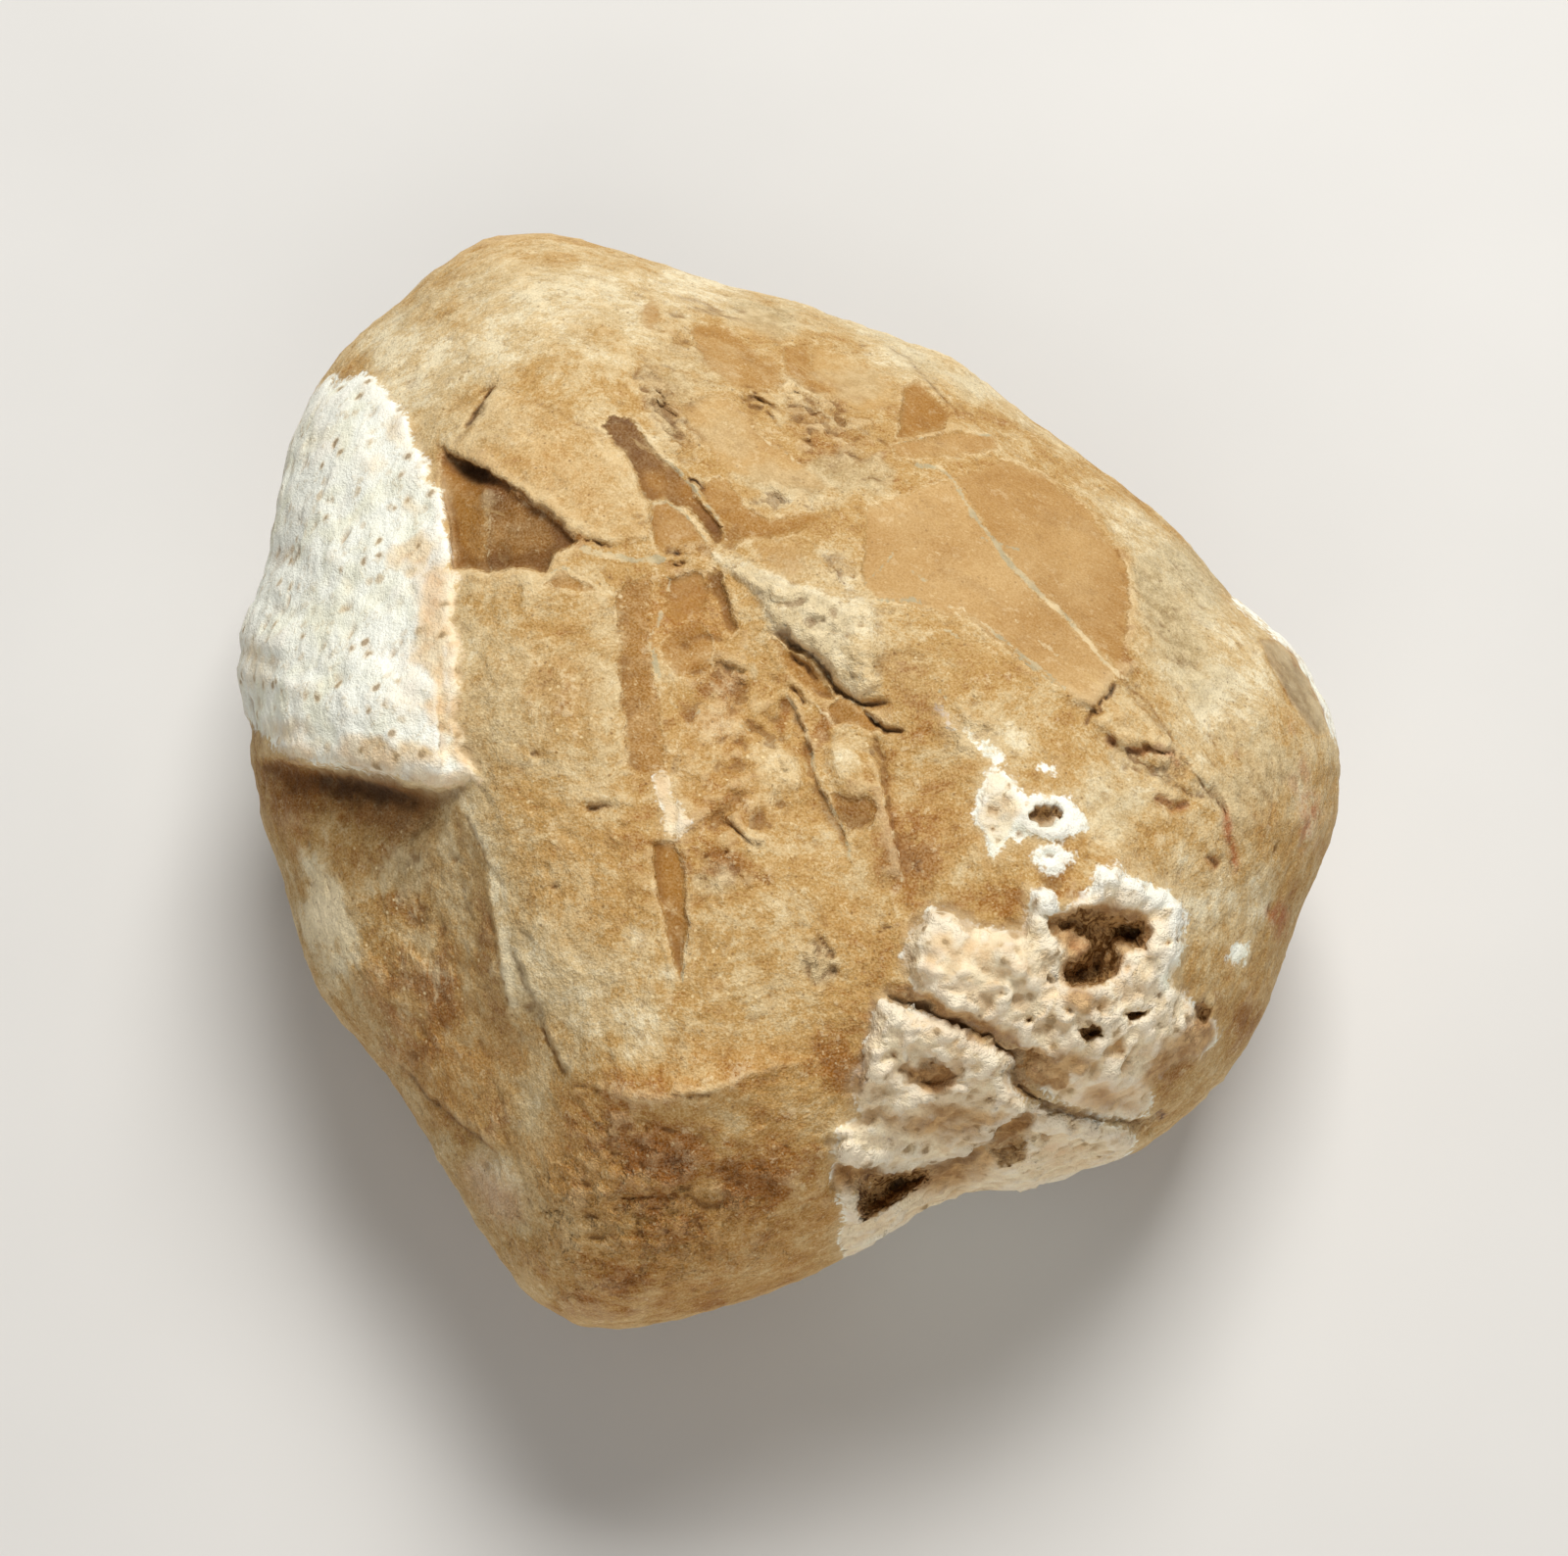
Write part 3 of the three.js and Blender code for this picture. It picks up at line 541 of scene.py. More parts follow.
    crack("976 408 984 420 996 424", 1.6, 0.4, 0.4)
    crack("800 410 826 420 850 430", 2.0, 0.7, 0.5)
    crack("690 302 715 308 742 318", 2.0, 0.5, 0.5, 4, 0.1, -0.4)
    facet("796 418 812 414 850 428 846 438 820 430", 0.6, 0.6, (0, -1), 0.8, 6, 1.6, 0.4, 0.6)
    q = np.stack([(X * 0.86 + Y * 0.5) / 30, (-X * 0.5 + Y * 0.86) / 17, X * 0], -1)
    f1, f2, ident, off = worley(q, 71, 0.95, True)
    m = A['crumb']
    H += m * 1.45 * ((ident - 0.55) * 0.8 + off[:, 0] * (ident - 0.5) * 1.2 + off[:, 1] * (np.mod(ident * 7.3, 1) - 0.5) * 1.4)
    put('crack', every, m * 0.2 * sstep(0.10, 0.0, f2 - f1) * (ident > 0.45))
    put('brown_and_shade', every, m * sstep(0.66, 0.8, ident) * 0.6)

    for k in range(34):
        a_, b_, c_, e_ = [hash3(np.array([k]), np.array([17]), np.array([j]), 19)[0] for j in range(4)]
        if k < 20:
            cx, cy, tn = 742 + 160 * a_ + 30 * (b_ - 0.5), 392 + 98 * a_ + 46 * (b_ - 0.5), 0.5 + 0.9 * (c_ - 0.5)
        elif k < 29:
            cx, cy, tn = 656 + 40 * a_ + 24 * (b_ - 0.5), 378 + 76 * a_ + 20 * (b_ - 0.5), 1.0 + 0.8 * (c_ - 0.5)
        else:
            cx, cy, tn = 692 + 64 * a_, 306 + 18 * a_ + 18 * (b_ - 0.5), 0.3 + 0.9 * (c_ - 0.5)
        ln = 6 + 10 * e_
        p_ = "%.1f %.1f %.1f %.1f %.1f %.1f" % (cx - ln * math.cos(tn), cy - ln * math.sin(tn), cx + 3 * (b_ - 0.5), cy + 4 * (c_ - 0.5), cx + ln * math.cos(tn), cy + ln * math.sin(tn))
        crack(p_, 1.5, 0.5, 0.30 + 0.45 * c_, 5)
        ledge(p_, 0.35 * (1 if a_ > 0.3 else -1), 12, 1.2, 4)
    for cx, cy, rx, ry, tr, v in [(684, 428, 26, 78, 32, 1.0), (798, 508, 64, 22, -8, 1.0), (840, 425, 80, 34, -32, 0.9), (700, 560, 60, 12, 0, 0.5), (742, 600, 16, 40, 10, 0.5)]:
        n = blob('crumb', cx, cy, rx, ry, tr, v, 0.5)
        A['smooth'] *= 1 - 0.8 * n
        A['amber'] *= 1 - 0.5 * n
    # ---- big smooth faces on the right, parted by the vein
    facet("885 518 943 496 975 488 1001 530 1036 585 1111 651 1142 688 1118 725 1059 686 984 628 897 611 880 599", 0.5, 0.22, (0.2, 0.0), 0.8, 4, 4, 0.6, 0.85)
    facet("975 484 1030 472 1064 484 1105 518 1140 559 1152 593 1151 640 1142 688 1111 651 1036 585 1001 530", 0.7, 0.31, (-0.3, -0.3), 0.8, 6, 4, 0.7, 0.85)
    A['tone'] += 0.12 * np.exp(-((X - 1085) / 60) ** 2 - ((Y - 645) / 46) ** 2)
    A['tone'] -= 0.05 * np.exp(-((X - 1060) / 50) ** 2 - ((Y - 555) / 50) ** 2)
    ledge("1118 728 1143 692 1152 640 1152 592", 0.6, 30, 2.5, 4)
    i, d, sdd, al = trace("1146 566 1154 592 1153 640 1144 690", 40, 4)
    put('brown_and_shade', i, 0.55 * np.exp(-(d / 9) ** 2))
    vein("935 474 958 477 972 490 985 512 997 530 1015 552 1030 575 1050 595 1065 610 1090 632 1105 648 1122 670 1142 690", 5.0, 0.2, 1.6, -0.75, 3)
    vein("880 599 898 580 918 558", 1.6, 0.05, 1.5, -1, 4)
    vein("890 613 925 613 980 620 1008 640 1050 680 1090 708 1114 724", 2.4, 0.05, 2.5, -0.25, 5)
    vein("1020 650 1062 684 1096 706 1114 716", 3.0, 0.1, 2.0, 0.0, 14)
    vein("975 625 990 642 1000 655", 2.0, 0.05, 1.5, -0.6, 6)
    vein("905 640 930 668 958 702 975 730", 3.0, 0.1, 3, -0.05, 15)
    vein("1000 548 1040 562", 1.2, 0.05, 1.5, -0.3, 7)
    for a_, b_, c_, e_ in [(948, 560, 962, 566), (1030, 628, 1046, 640), (1010, 600, 1024, 604), (960, 640, 985, 655), (1060, 655, 1078, 668), (930, 585, 944, 592)]:
        vein("%d %d %d %d" % (a_, b_, c_, e_), 1.8, 0.05, 2.5, -0.4, a_)
    # ---- pale ridge across the middle, ending in a lump
    i, sd = area("728 566 745 566 762 571 787 585 814 598 849 608 894 614 902 640 904 682 898 709 872 711 846 684 821 663 783 639 779 619 766 600 742 583", 30, 4)
    run = sstep(914, 846, X[i] + 16 * wx[i])
    m = sstep(4, -10 - 14 * (1 - run), sd)
    H[i] += m * (0.8 + 0.5 * np.exp(-((X[i] - 868) / 40) ** 2 - ((Y[i] - 672) / 40) ** 2))
    put('pale_and_highlight', i, 0.85 * sstep(5, -4, sd) * (0.25 + 0.75 * run))
    put('grey', i, 0.8 * sstep(4, -8, sd) * sstep(-0.5, 0.1, wx[i]) * run)
    put('crumb', i, 0.36 * sstep(4, -6, sd) * (0.3 + 0.7 * run))
    A['smooth'][i] *= 1 - sstep(4, -6, sd)
    H[i] += m * fbm(X[i] / 12, Y[i] / 12, 3.0, 3, 81) * 0.8
    facet("786 648 806 664 826 676 842 692 852 716 836 712 812 692 796 668", 0.8, 0.62, (0, -1.6), 0.7, 3, 2.0, 0.5, 0.8)
    facet("856 712 880 722 900 742 890 746 868 738 850 740 846 724", 0.8, 0.68, (0, -1.6), 0.7, 3, 2.0, 0.5, 0.8)
    # the wide groove along the ridge's lower edge is darkened partly as painted shadow
    crack("783 639 804 655 825 665 842 682 856 706 880 719 910 719", 4.2, 1.6, 0.85, 6)
    crack("806 666 814 673 826 683 836 698", 2.2, 0.9, 0.8)
    crack("806 700 813 708 822 718", 2.0, 0.8, 0.7)
    crack("880 724 891 736 904 745 924 747", 2.8, 1.1, 1.0)
    vein("846 690 858 708 880 722 896 738", 1.8, -0.15, 2.0, -0.4, 17)
    vein("812 702 830 716 850 738", 1.8, -0.1, 3.0, -0.3, 18)

    # ---- upright bands and the rough ground right of them
    facet("631 606 648 592 665 585 664 620 661 648 667 688 676 740 679 783 663 789 650 786 641 779 637 705 634 660", 0.5, 0.50, (1.6, -0.4), 0.6, 8, 4.0, 0.0, 0.8)
    facet("666 860 686 860 698 879 700 924 703 944 698 963 697 992 695 1003 689 979 681 953 673 915 666 886", 0.6, 0.52, (1.8, -0.4), 0.8, 4.0, 2.0, 0.6, 0.9)
    vein("702 930 704 945 699 964 698 992 697 1006", 2.0, -0.1, 1.6, -0.8, 19)
    facet("683 592 714 582 724 603 717 627 690 637 679 627", 0.35, 0.40, (0, 0.3), 0.65, 2.5, 2, 0.8, 0.7)
    facet("717 582 735 582 742 610 752 641 745 648 731 617", 0.5, 0.66, (-1.0, -0.4), 0.7, 4.0, 2.2, 0.5, 0.9)
    facet("684 640 716 634 728 660 720 690 690 690 676 664", 0.2, 0.55, (0, -0.5), 0.5, 5, 3, 0.3, 0.7)
    blob('brown_and_shade', 709, 679, 14, 12, 0, 0.9, 0.5)
    vein("683 590 678 612 672 637 662 651 668 672 672 693", 6.0, 0.1, 2.5, -0.45, 8)
    hump = blob(None, 765, 790, 100, 120, 10, 1, 0.3, 0.3)
    H += hump * (fbm(X / 46, Y / 46, 6.0, 3, 91) * 1.7 + fbm(X / 16, Y / 14, 6.5, 3, 92) * 1.15)
    H += 1.0 * blob(None, 795, 800, 44, 50, -20, 1.0, 0.4, 0.3)
    ledge("764 722 740 715 716 722 706 742", -0.8, 24, 1.8, 8)
    ledge("796 768 778 750 752 742 728 752", -0.8, 22, 1.8, 8)
    vein("764 720 740 714 716 722 706 742", 1.6, 0.0, 4.0, -0.2, 20)
    vein("796 766 778 748 752 741 728 752", 1.6, 0.0, 4.0, -0.2, 21)
    ledge("779 864 762 856 748 845 737 834", 0.7, 24, 1.8, 5)
    ledge("700 690 716 676 738 672 756 684", -0.5, 20, 1.8, 8)
    ledge("690 660 712 648 740 652", -0.4, 16, 1.8, 8)
    ledge("820 800 800 786 790 760 792 736", 0.6, 18, 1.2, 6)
    ledge("700 880 690 850 694 812", 0.5, 20, 1.4, 6)
    ledge("770 640 760 668 766 700", 0.6, 18, 1.2, 6)
    crack("737 834 750 846 763 856 777 863", 1.8, 0.7, 0.75)
    crack("716 877 730 873 746 868", 2.2, 0.6, 0.6)
    crack("708 922 724 916 740 926", 1.6, 0.3, 0.3)
    p_ = "800 705 812 722 822 745 830 780 838 805 850 828 862 848 868 876"
    vein(p_, 2.8, -0.1, 2.5, -0.3, 9)
    ledge(p_, -1.2, 40, 1.6, 3.0)
    i, sd = area("838 756 856 748 884 752 890 776 896 806 880 814 858 812 842 796", 20, 4)
    H[i] += 1.0 * sstep(3, -16, sd)
    facet("846 812 880 814 894 822 890 842 868 850 854 836", 0.6, 0.66, (0, -1.2), 0.7, 7, 2.5, 0.3, 0.7)
    p_ = "886 758 896 786 899 816 908 842 917 872 921 904"
    vein(p_, 2.0, -0.1, 3.0, -0.15, 10)
    ledge(p_, 1.0, 36, 1.8, 3.0)
    i, d, sdd, al = trace(p_, 40, 5)
    # painted shade: brown beside the upright ridge and in streaks down the ridges' sides
    put('brown_and_shade', i, 0.6 * ends(al, 0.15) * np.exp(-((d * sdd - 6) / 9) ** 2))
    put('brown_and_shade', i, 0.5 * ends(al, 0.15) * np.exp(-((d * sdd + 8) / 9) ** 2))
    for cx_, cy_, rx_, ry_ in [(842, 738, 12, 30), (868, 826, 14, 24), (905, 800, 8, 50), (800, 730, 10, 30)]:
        blob('brown_and_shade', cx_, cy_, rx_, ry_, -12, 0.6, 0.5)
    crack("890 745 900 775 904 810 912 850 920 890", 1.8, 0.5, 0.4, 3, 0.1, -0.4)
    # ---- lower middle and foot
    crack("582 1106 598 1108 612 1115", 1.8, 0.6, 0.8)
    crack("682 1118 700 1122 716 1118 730 1114", 2.2, 0.8, 0.8, 5)
    ledge("734 1114 716 1120 700 1124 682 1120", 0.5, 18, 1.5)
    crack("674 1150 690 1151", 2.0, 0.6, 0.6)
    crack("832 950 842 962 850 978", 2.0, 0.5, 0.5)
    crack("893 955 905 948 916 945", 1.4, 0.4, 0.5)
    for k in range(46):
        a_, b_, c_, e_ = [hash3(np.array([k]), np.array([7]), np.array([j]), 9)[0] for j in range(4)]
        cx, cy = 545 + 260 * a_, 1150 + 175 * b_ + 14 * (a_ - 0.5)
        rx, ry = 2.5 + 5 * c_ ** 2, 2.0 + 2.6 * e_
        n = window(np.array([[cx, cy]]), 30)
        g = np.exp(-((X[n] - cx + 4 * wx[n]) / rx) ** 2 - ((Y[n] - cy + 3 * wy[n]) / ry) ** 2)
        H[n] -= 0.45 * g
        put('crack', n, 0.06 * g)
    for cx, cy, rx, ry in [(640, 1221, 14, 4.5), (662, 1219, 11, 4), (728, 1229, 13, 4.5), (606, 1240, 10, 4.5), (610, 1262, 10, 4), (598, 1208, 9, 4), (700, 1212, 8, 3.5),
                           (614, 823, 15, 4), (605, 826, 8, 4), (566, 905, 4, 2.5), (545, 770, 4, 2.5)]:
        n = window(np.array([[cx, cy]]), 40)
        g = np.exp(-((X[n] - cx + 3 * wx[n]) / rx) ** 2 - ((Y[n] - cy + 2 * wy[n]) / ry) ** 2)
        H[n] -= 0.9 * g
        put('crack', n, 0.30 * g)
    # ---- right side
    crack("1114 728 1122 716 1132 710 1141 696", 2.8, 1.2, 0.95)
    crack("1108 742 1114 730 1130 724", 2.0, 0.8, 0.7)
    crack("1150 700 1172 730 1196 752", 1.6, 0.5, 0.4)
    crack("1166 762 1184 766 1202 768", 2.2, 0.8, 0.7)
    crack("1150 772 1180 790 1210 808 1235 815 1251 832", 2.0, 0.6, 0.5, 5, 0.1, -0.4)
    crack("1142 690 1170 716 1196 752 1212 780 1236 812 1250 834", 1.8, 0.5, 0.45, 5, 0.1, -0.3)
    crack("1238 806 1246 820 1252 836", 2.6, 0.9, 0.7)
    crack("1252 838 1256 870 1258 900", 1.4, 0.3, 0.3)
    crack("1196 810 1206 832 1222 850", 1.6, 0.3, 0.3)
    crack("1280 840 1294 856 1304 870", 1.6, 0.3, 0.35)
    crack("1110 745 1140 770 1165 790", 1.8, 0.4, 0.4, 5, 0.1, -0.2)
    crack("1296 760 1300 800 1296 850", 1.2, 0.3, 0.25)
    vein("1140 685 1170 712 1192 735 1204 758 1222 790 1246 820 1256 836", 2.4, -0.1, 4.0, -0.1, 22)
    vein("1128 745 1160 770 1200 776 1236 808", 2.0, -0.1, 4.0, 0.0, 23)
    ledge("1236 806 1200 775 1160 768 1130 742", 0.6, 24, 2.0, 4)
    ledge("1222 690 1196 664 1168 668 1146 700", 0.5, 34, 2.5, 4)
    i, d, sdd, al = trace("1250 828 1255 860 1262 888", 24, 4)
    put('red_and_shade', i, 0.9 * np.exp(-(d / 4) ** 2))
    for cx, cy, rx, ry, v in [(1180, 762, 8, 5, 0.7), (1202, 778, 6, 6, 0.6), (1338, 826, 18, 28, 0.75), (1346, 866, 12, 18, 0.7), (1332, 848, 8, 30, 0.7), (1306, 936, 15, 26, 0.8), (1322, 800, 14, 20, 0.35), (1318, 742, 9, 12, 0.5),
                              (1330, 790, 12, 30, 0.4), (1262, 770, 5, 8, 0.4)]:
        blob('red_and_shade', cx, cy, rx, ry, 0, v, 0.5, 0.2)

    i, d, sdd, al = trace("1152 556 1172 586 1186 620 1206 660 1230 690", 90, 6)
    e = ends(al, 0.2)
    H[i] -= 0.9 * e * np.exp(-(d / 22) ** 2)
    put('brown_and_shade', i, 0.35 * e * np.exp(-(d / 18) ** 2))
    put('grey', i, 0.9 * e * np.exp(-(d / 26) ** 2))
    i, d, sdd, al = trace("1110 748 1150 782 1196 806 1230 838 1250 880 1252 930", 90, 8)
    e = ends(al, 0.2)
    H[i] -= 0.6 * e * np.exp(-(d / 16) ** 2)
    H[i] += 0.5 * e * np.exp(-((d * sdd + 34) / 18) ** 2)
    for a_, b_, c_, e_ in [(1196, 700, 1214, 722), (1230, 742, 1244, 770), (1262, 726, 1276, 744), (1284, 800, 1300, 822), (1206, 838, 1220, 858), (1270, 850, 1288, 872), (1180, 640, 1196, 660)]:
        crack("%d %d %d %d" % (a_, b_, c_, e_), 1.3, 0.3, 0.35)
    for s_, up_ in [("1113 736 1120 722 1134 712 1160 712 1182 722 1198 746 1200 766 1172 764 1146 762 1128 752", 1.0), ("1160 790 1182 782 1206 796 1214 818 1196 822 1176 812", 0.7), ("1216 842 1236 838 1250 860 1246 884 1230 872", 0.6)]:
        i, sd = area(s_, 30, 7)
        m = sstep(3, -16, sd)
        H[i] += up_ * m * (1 + 0.6 * fbm(X[i] / 14, Y[i] / 14, 2.0, 3, 113))
    # painted shadow: red-brown and dark along the lumps' lower edges
    for p_ in ["1146 764 1172 767 1202 770", "1176 812 1196 824 1214 820", "1128 752 1140 758", "1230 872 1244 886"]:
        i, d, sdd, al = trace(p_, 30, 3)
        e = ends(al, 0.15)
        H[i] -= 0.9 * e * np.exp(-(d / 4.5) ** 2)
        put('red_and_shade', i, 0.7 * e * np.exp(-(d / 5.0) ** 2))
        put('crack', i, 0.55 * e * np.exp(-(d / 2.6) ** 2) * sstep(-0.4, 0.2, wx[i]))
    # ---- white spots and lobes on the right
    rind("1045 815 1058 808 1074 811 1092 816 1105 830 1111 845 1104 852 1085 855 1066 857 1050 850 1042 834", 0.45, 5.0, 6)
    i, sd = rind("1006 786 1020 784 1034 792 1044 808 1046 832 1034 850 1024 868 1015 877 1007 869 1004 852 993 840 997 812", 0.3, 6.0, 6)
    put('cream', i, 0.55 * sstep(2, -8, sd))
    rind("1034 800 1050 810 1052 852 1036 860 1028 838", 0.25, 6.0, 5)
    rind("1052 868 1064 860 1084 863 1097 872 1094 884 1080 893 1062 890 1053 880", 0.4, 4.5, 6)
    rind("996 762 1006 757 1016 766 1026 780 1016 784 1006 774", 0.1, 6.0, 5)
    for s_ in ["1000 756 1008 752 1016 764 1022 776 1012 778 1004 768", "1062 782 1078 784 1076 792 1064 790", "956 722 966 728 974 742 966 742", "984 742 992 748 1000 760 992 758"]:
        rind(s_, 0.1, 4.0, 4)
    i, sd = rind("666 792 679 787 686 795 682 814 695 824 705 837 698 853 682 855 676 844 679 831 671 814", 0.25, 4.0, 5)
    put('cream', i, 0.8 * sstep(6, -2, sd))
    rind("1256 966 1268 962 1272 976 1262 984 1254 978", 0.1, 3.0, 4)
    i, sd = rind(LOBE_A, 1.7, 4.5, 14)
    m = sstep(4, -14, sd)
    H[i] += m * (fbm(X[i] / 44, Y[i] / 44, 2.0, 3, 101) * 1.6 + fbm(X[i] / 16, Y[i] / 16, 3.0, 3, 102) * 0.8)
    put('cream', i, 0.70 * sstep(8, -6, sd))
    put('crumb', i, 0.6 * sstep(0, -8, sd))
    i, sd = rind(LOBE_B, 1.7, 4.5, 14)
    m = sstep(4, -14, sd)
    H[i] += m * (fbm(X[i] / 40, Y[i] / 40, 5.0, 3, 103) * 1.3 + fbm(X[i] / 15, Y[i] / 15, 6.0, 3, 104) * 0.8)
    put('cream', i, 0.70 * sstep(8, -6, sd))
    put('crumb', i, 0.6 * sstep(0, -8, sd))
    # creamy lobe swells, white crest round the big hollow
    i, sd = area("928 990 934 950 952 932 990 946 1040 950 1068 980 1070 1018 1000 1020 944 1008", 40, 4)
    H[i] += 1.2 * sstep(4, -28, sd)
    put('cream', i, 0.95 * sstep(-4, -20, sd))
    A['smooth'][i] = np.maximum(A['smooth'][i], 0.5 * sstep(0, -14, sd))
    A['crumb'][i] *= 1 - 0.6 * sstep(0, -14, sd)
    i, d, sdd, al = trace("1056 912 1076 926 1110 906 1130 890 1168 902 1200 930 1204 965 1196 1000", 40, 4)
    H[i] += 1.2 * np.exp(-(d / 15) ** 2)
    A['cream'][i] *= 1 - 0.6 * np.exp(-(d / 14) ** 2)
    # bowl of the big hollow: rough crystals, deepest along a bent trough
    i, sd = area("1062 934 1090 924 1140 918 1172 930 1182 952 1172 972 1150 976 1140 996 1118 1014 1092 1014 1076 1000 1082 970 1072 954", 30, 5)
    H[i] -= 2.6 * sstep(3, -16, sd)
    put('cream', i, 1.0 * sstep(3, -6, sd))
    put('brown_and_shade', i, 0.85 * sstep(2, -12, sd))
    pocket("1076 938 1094 930 1130 932 1164 938 1174 954 1160 968 1140 968 1136 984 1132 1002 1112 1010 1088 1006 1082 994 1096 978 1106 966 1094 954 1078 950", 2.8, 5.0, 14, 0.85, 0.1)
    pocket("1128 944 1150 938 1170 946 1172 958 1158 966 1138 964", 1.6, 4.0, 9, 1.0, 0.0)
    pocket("1084 994 1100 978 1122 974 1134 984 1126 1002 1104 1010 1088 1006", 2.6, 4.0, 10, 1.0, 0.0)
    blob('red_and_shade', 1096, 966, 20, 8, -30, 0.5, 0.5)
    blob('pink', 1120, 1120, 60, 24, 0, 0.7, 0.3)
    blob('pink', 947, 1098, 40, 26, -10, 0.6, 0.3)
    blob('pink', 1075, 1172, 26, 14, 0, 0.6, 0.3)
    pocket("1102 1048 1114 1040 1127 1047 1126 1060 1110 1065 1102 1058", 3.8, 1.5, 7, 1.0, 0.4)
    pocket("1146 1034 1158 1027 1173 1031 1170 1040 1152 1042", 3.2, 1.5, 6, 1.0, 0.4)
    pocket("1044 1037 1052 1034 1056 1041 1048 1045", 1.6, 1.0, 4, 0.9, 0.2)
    pocket("1218 1024 1228 1020 1237 1032 1232 1046 1220 1040", 2.0, 2, 6, 0.9, 0.4)
    pocket("1176 1134 1186 1129 1194 1138 1186 1147 1177 1144", 1.4, 1.5, 5, 0.7, 0.5)
    # tan crystal ground low on the upper lobe, stains on the pad
    for cx, cy, rx, ry, tr, v in [(1125, 1020, 60, 20, -10, 0.9), (1090, 1080, 60, 26, -25, 0.95), (1200, 1000, 20, 40, 0, 0.8), (1000, 1060, 60, 14, -18, 0.9), (1150, 1065, 40, 22, 0, 0.8),
                                  (945, 1095, 44, 28, -10, 0.95), (970, 1135, 70, 26, -8, 1.0), (1030, 1172, 46, 22, 0, 1.0), (960, 1215, 60, 22, 10, 0.95), (1100, 1165, 50, 20, 0, 0.7),
                                  (446, 650, 40, 190, 2, 1.0), (425, 560, 40, 70, 10, 0.9), (430, 770, 60, 26, -10, 0.8), (262, 690, 40, 60, 0, 0.5), (300, 745, 60, 30, -10, 0.5), (400, 440, 30, 50, 30, 0.5), (300, 700, 40, 60, 0, 0.4), (355, 600, 26, 34, 0, 0.5), (380, 470, 34, 40, 0, 0.4), (310, 772, 70, 12, -8, 1.0),
                                  (1130, 1118, 60, 20, 0, 0.95), (1210, 1070, 30, 50, -30, 0.95), (375, 772, 60, 26, -8, 1.2), (350, 768, 90, 30, -6, 0.9)]:
        blob('cream', cx, cy, rx, ry, tr, v, 0.5)
    for cx, cy, rx, ry, tr, v in [(1090, 1082, 40, 16, -25, 0.6), (947, 1098, 46, 28, -10, 1.1), (950, 1145, 80, 24, -8, 0.6), (1185, 1085, 40, 34, -30, 0.8), (1105, 1022, 40, 22, 0, 0.8), (1140, 1064, 14, 16, 0, 0.5), (1095, 914, 34, 12, 10, 0.6), (1120, 1120, 56, 24, 0, 0.6), (1005, 1062, 60, 9, -18, 0.6), (1034, 1174, 36, 16, 0, 0.85), (1215, 1075, 26, 56, -30, 0.9),
                                  (1140, 1128, 60, 16, 0, 0.5), (300, 780, 60, 8, -8, 0.7), (1120, 1022, 46, 10, -8, 0.5), (1040, 1110, 14, 22, 30, 0.6), (950, 1210, 50, 14, 12, 0.6), (970, 1135, 60, 20, -8, 0.6), (1005, 1142, 40, 16, 0, 0.6)]:
        blob('brown_and_shade', cx, cy, rx, ry, tr, v, 0.5)
    # groove that parts the lobes
    i, d, sdd, al = trace("900 1014 930 1027 960 1040 1005 1058 1033 1076 1040 1108 1078 1132 1120 1140 1155 1142 1182 1140", 40, 5)
    e = ends(al, 0.07)
    k = d * sdd
    H[i] -= e * (1.5 * np.exp(-(d / 4.5) ** 2) + 0.9 * np.exp(-((k + 8) / 8) ** 2) * sstep(0.6, 0.3, al))
    put('crack', i, e * 0.7 * np.exp(-(d / 3.0) ** 2) * (0.6 + 0.4 * sstep(-0.2, 0.2, wx[i])))
    put('brown_and_shade', i, e * 1.0 * np.exp(-((k + 8) / 8) ** 2) * sstep(0.7, 0.4, al))
    put('crumb', i, e * 0.9 * np.exp(-(d / 16) ** 2))
    # brown slope where the groove opens out
    i, sd = area("1004 1058 1034 1062 1062 1066 1092 1092 1088 1114 1060 1112 1044 1104 1034 1086", 30, 5)
    H[i] -= 1.2 * sstep(3, -12, sd)
    put('brown_and_shade', i, 1.0 * sstep(3, -6, sd))
    put('cream', i, 1.0 * sstep(3, -6, sd))
    put('crumb', i, 1.0 * sstep(2, -6, sd))
    # rounded lower end of the upper lobe
    i, sd = area("1066 1096 1090 1090 1130 1098 1178 1082 1180 1130 1152 1143 1110 1138 1076 1124", 30, 4)
    H[i] -= 2.2 * sstep(3, -26, sd) * sstep(1094, 1134, Y[i])
    A['smooth'][i] = np.maximum(A['smooth'][i], 0.5 * sstep(2, -8, sd))
    # hollow side of the lower lobe and the ledge over it
    i, d, sdd, al = trace("846 1182 885 1192 920 1193 950 1190 980 1180 1015 1160 1034 1136 1060 1136", 60, 4)
    k = d * sdd
    e = ends(al, 0.08)
    H[i] -= e * sstep(-2, 4, k) * (4.0 * np.exp(-(k / 24) ** 2))
    H[i] += e * 1.2 * np.exp(-((k + 12) / 11) ** 2)
    H[i] += e * 0.9 * np.exp(-((k - 44) / 12) ** 2)
